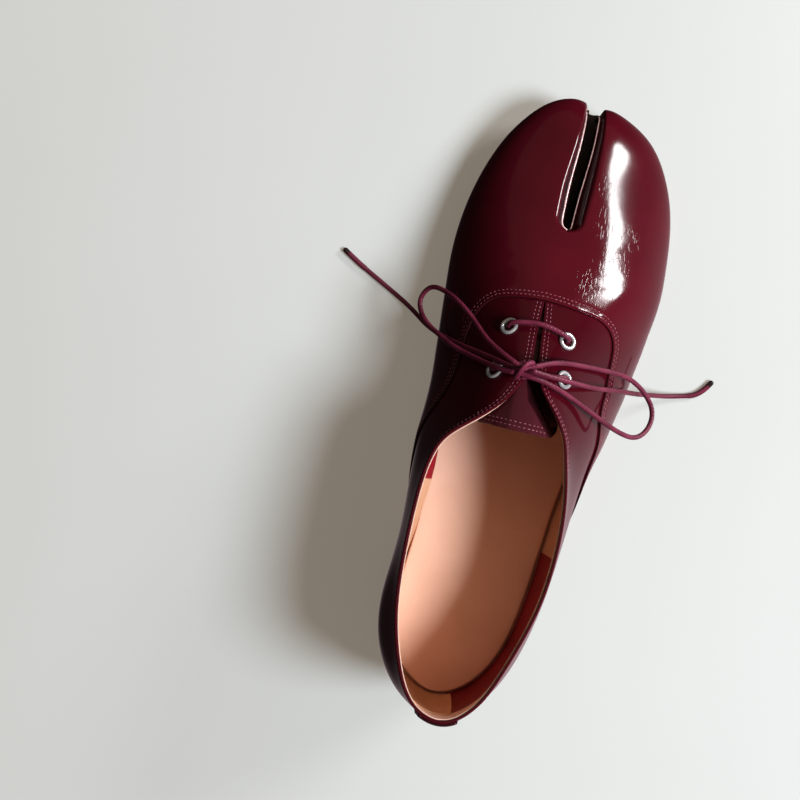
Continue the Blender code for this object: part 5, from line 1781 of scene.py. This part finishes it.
# Stitches
def stitch_tree():
    """Node tree that lays one rounded stitch after another along rows of points."""
    tree = bpy.data.node_groups.new("stitch_rows", "GeometryNodeTree")
    face = tree.interface
    face.new_socket("Rows", in_out="INPUT", socket_type="NodeSocketGeometry")
    for name in ("Pitch", "Length", "Width", "Height"):
        face.new_socket(name, in_out="INPUT", socket_type="NodeSocketFloat")
    face.new_socket("Thread", in_out="INPUT", socket_type="NodeSocketMaterial")
    face.new_socket("Stitches", in_out="OUTPUT", socket_type="NodeSocketGeometry")
    given = tree.nodes.new("NodeGroupInput")
    result = tree.nodes.new("NodeGroupOutput")
    line = tree.nodes.new("GeometryNodeMeshToCurve")
    spread = add_node(tree, "GeometryNodeResampleCurve", mode="LENGTH")
    ball = tree.nodes.new("GeometryNodeMeshUVSphere")
    ball.inputs["Segments"].default_value = STITCH_SEGMENTS
    ball.inputs["Rings"].default_value = STITCH_RINGS
    # One unit across, so that its scale is the size of the stitch
    ball.inputs["Radius"].default_value = 0.5
    size = tree.nodes.new("ShaderNodeCombineXYZ")
    shaped = tree.nodes.new("GeometryNodeTransform")
    ahead = tree.nodes.new("GeometryNodeInputTangent")
    out = add_node(tree, "GeometryNodeInputNamedAttribute", data_type="FLOAT_VECTOR")
    out.inputs["Name"].default_value = "out"
    along = add_node(tree, "FunctionNodeAlignRotationToVector", axis="X")
    upright = add_node(tree, "FunctionNodeAlignRotationToVector", axis="Z", pivot_axis="X")
    laid = tree.nodes.new("GeometryNodeInstanceOnPoints")
    real = tree.nodes.new("GeometryNodeRealizeInstances")
    smooth = tree.nodes.new("GeometryNodeSetShadeSmooth")
    thread = tree.nodes.new("GeometryNodeSetMaterial")
    links = [
        (given, "Rows", line, "Mesh"),
        (line, "Curve", spread, "Curve"),
        (given, "Pitch", spread, "Length"),
        (given, "Length", size, "X"),
        (given, "Width", size, "Y"),
        (given, "Height", size, "Z"),
        (ball, "Mesh", shaped, "Geometry"),
        (size, "Vector", shaped, "Scale"),
        (ahead, "Tangent", along, "Vector"),
        (along, "Rotation", upright, "Rotation"),
        (out, "Attribute", upright, "Vector"),
        (spread, "Curve", laid, "Points"),
        (shaped, "Geometry", laid, "Instance"),
        (upright, "Rotation", laid, "Rotation"),
        (laid, "Instances", real, "Geometry"),
        (real, "Geometry", smooth, "Geometry"),
        (smooth, "Geometry", thread, "Geometry"),
        (given, "Thread", thread, "Material"),
        (thread, "Geometry", result, "Stitches"),
    ]
    for source, output, target, socket in links:
        tree.links.new(source.outputs[output], target.inputs[socket])
    return tree


def laid_rows(rows, tree):
    """Rows of points moved on to a surface: points in metres and the surface's outward normals."""
    found = []
    for row in rows:
        hits = [tree.find_nearest(Vector(p)) for p in row_frame(row)]
        points = np.array([hit[0] for hit in hits])
        normals = np.array([hit[1] for hit in hits])
        found.append((points - normals * STITCH_SINK * MM, normals))
    return found


def make_stitches(name, rows):
    """One mesh of stitches along laid rows."""
    points = np.concatenate([row for row, _ in rows])
    normals = np.concatenate([normal for _, normal in rows])
    edges = []
    start = 0
    for row, _ in rows:
        edges += [(k, k + 1) for k in range(start, start + len(row) - 1)]
        start += len(row)
    lines = bpy.data.meshes.new(name + "_rows")
    lines.from_pydata(points.tolist(), edges, [])
    out = lines.attributes.new("out", "FLOAT_VECTOR", "POINT")
    out.data.foreach_set("vector", normals.astype(np.float32).ravel())
    guide = bpy.data.objects.new(name + "_rows", lines)
    bpy.context.scene.collection.objects.link(guide)
    sewn = guide.modifiers.new("stitches", "NODES")
    sewn.node_group = STITCH_TREE
    values = {
        "Pitch": STITCH_PITCH * MM,
        "Length": STITCH_LENGTH * MM,
        "Width": STITCH_WIDTH * MM,
        "Height": STITCH_HEIGHT * MM,
        "Thread": THREAD,
    }
    for item in STITCH_TREE.interface.items_tree:
        if item.name in values:
            sewn[item.identifier] = values[item.name]
    mesh = bpy.data.meshes.new_from_object(guide.evaluated_get(bpy.context.evaluated_depsgraph_get()))
    bpy.data.objects.remove(guide)
    mesh.name = name
    mesh.materials.clear()
    piece(name, mesh, [THREAD])


def seam_rows():
    """Rows beside the vamp's edge, on the vamp's side of it."""
    stations, shares = seam_curve(SEAM_STITCH_STEP)
    line = dome(stations, shares)[:, 0]
    normal = dome_normal(stations, np.minimum(shares, TOP_SHARE))[:, 0]
    line = line + normal * VAMP_STEP
    ahead = unit(np.gradient(line, axis=0))
    inward = unit(np.cross(ahead, normal))
    middle = len(line) // 2
    if inward[middle, 1] < 0:
        inward = -inward
    return [(line + inward * row)[ROW_CLEAR:-ROW_CLEAR] for row in SEAM_ROWS]


def edge_rows(rear_end, front_end, distance):
    """Rows below the quarters' top edge on both sides, from one place of the edge to another."""
    rows = []
    for side in SIDES:
        dense = np.linspace(HEEL_STATION, SLIT_END[side], EDGE_SAMPLES)
        tops = rib_top(dense)
        keep = (tops[:, 1] > rear_end) & (tops[:, 1] < front_end)
        stations = dense[keep]
        shares = share_below(stations, distance)
        rows.append(dome(stations, shares)[:, 0])
    return rows


def sew(vamp_tree, quarter_tree, tongue_tree, tab_tree, tongue_face, tab_face):
    """All the shoe's stitch rows."""
    make_stitches("seam_stitches", laid_rows(seam_rows(), vamp_tree))
    rows = edge_rows(COLLAR_STITCH_START, SLIT_STITCH_END, EDGE_ROWS[0])
    rows += edge_rows(FACING_END, SLIT_STITCH_END, EDGE_ROWS[1])
    make_stitches("edge_stitches", laid_rows(rows, quarter_tree))
    rows = []
    for distance in TONGUE_STITCH_ROWS:
        k = int(np.argmin(np.abs(tongue_face[:, TONGUE_COLUMN, 1] - TONGUE_END - distance)))
        row = tongue_face[k, ROW_CLEAR:-ROW_CLEAR]
        rows.append(row[row[:, 0] < fold_line(row[:, 1])])
    make_stitches("tongue_stitches", laid_rows(rows, tongue_tree))
    inset = TAB_STITCH_INSET
    down = tab_face[inset, -inset:inset:-1]
    across = tab_face[inset:-inset, inset]
    up = tab_face[-inset - 1, inset:-inset]
    border = np.concatenate([down, across, up])
    make_stitches("tab_stitches", laid_rows([border], tab_tree))


# Floor, backdrop and lights
def make_stage():
    """Plain pale floor and backdrop; the gloss mirrors the lights and the air instead of them."""
    half = FLOOR_HALF
    corners = [(-half, -half, 0), (half, -half, 0), (half, half, 0), (-half, half, 0)]
    floor_mesh = mesh_of("floor", corners, [(0, 1, 2, 3)])
    floor_mesh.materials.append(
        plain_finish(
            "floor_paint", *FLOOR_TONES, FLOOR_ROUGH, FLOOR_MOTTLE, FLOOR_RELIEF,
            Emission_Color=FLOOR_GLOW, Emission_Strength=1.0,
        )
    )
    turns = np.linspace(0, 2 * math.pi, BACKDROP_STEPS, endpoint=False)
    plan = [(BACKDROP_RADIUS * math.cos(t), BACKDROP_RADIUS * math.sin(t)) for t in turns]
    rings = [[(x, y, height) for x, y in plan] for height in BACKDROP_SPAN]
    wall_mesh = mesh_of("backdrop", np.concatenate(rings), grid_faces(2, len(turns), closed=True))
    paper, _, shader = finish_of("backdrop_paper", 1.0, Emission_Strength=1.0)
    shader.inputs["Base Color"].default_value = BLACK
    shader.inputs["Emission Color"].default_value = BACKDROP_GLOW
    wall_mesh.materials.append(paper)
    for name, mesh in (("floor", floor_mesh), ("backdrop", wall_mesh)):
        obj = bpy.data.objects.new(name, mesh)
        bpy.context.scene.collection.objects.link(obj)
        obj.visible_glossy = False
        obj.visible_diffuse = False
        obj.visible_shadow = name == "floor"


def make_lights():
    """Lights aimed at the vamp, each on its own receivers, and air that is bright low on the outer side."""
    reached = {}
    for group, (names, state) in RECEIVERS.items():
        reached[group] = bpy.data.collections.new(group)
        for name in names:
            reached[group].objects.link(bpy.data.objects[name])
        for item in reached[group].collection_objects:
            item.light_linking.link_state = state
    for name, azimuth, elevation, tilt, distance, width, height, power, colour, glossy, group in LIGHTS:
        data = bpy.data.lights.new(name, "AREA")
        data.shape = "ELLIPSE"
        data.size = width
        data.size_y = height
        data.energy = power
        data.color = colour
        lamp = bpy.data.objects.new(name, data)
        turn = math.radians(azimuth)
        rise = math.radians(elevation)
        way = Vector((math.cos(rise) * math.cos(turn), math.cos(rise) * math.sin(turn), math.sin(rise)))
        lamp.location = place(LIGHT_AIM) + way * distance
        turned = way.to_track_quat("Z", "Y") @ Quaternion((0, 0, 1), math.radians(tilt))
        lamp.rotation_euler = turned.to_euler()
        lamp.visible_camera = False
        lamp.visible_glossy = glossy
        if group:
            lamp.light_linking.receiver_collection = reached[group]
        bpy.context.scene.collection.objects.link(lamp)
    world = bpy.data.worlds.new("studio_air")
    world.use_nodes = True
    tree = world.node_tree
    background = tree.nodes["Background"]
    background.inputs["Color"].default_value = AIR_COLOUR
    where = add_node(tree, "ShaderNodeTexCoord")
    facing = add_node(tree, "ShaderNodeVectorMath", operation="DOT_PRODUCT")
    facing.inputs[1].default_value = AIR_WAY
    ramp = add_node(tree, "ShaderNodeMapRange", interpolation_type="SMOOTHSTEP")
    for socket, value in AIR.items():
        ramp.inputs[socket].default_value = value
    tree.links.new(where.outputs["Generated"], facing.inputs[0])
    tree.links.new(facing.outputs["Value"], ramp.inputs["Value"])
    tree.links.new(ramp.outputs["Result"], background.inputs["Strength"])
    bpy.context.scene.world = world
    bpy.context.scene.view_settings.view_transform = "Standard"


make_camera()
make_lace()
STITCH_TREE = stitch_tree()
vamp_surface, split_edges = make_vamp()
quarter_surface = make_quarters()
make_lining()
make_toe_lining()
make_split_bead(split_edges)
tongue_surface, tongue_grid = make_tongue()
tab_surface, tab_grid = make_heel_tab()
make_insole()
make_outsole()
make_heel()
make_eyelets()
sew(vamp_surface, quarter_surface, tongue_surface, tab_surface, tongue_grid, tab_grid)
make_stage()
make_lights()
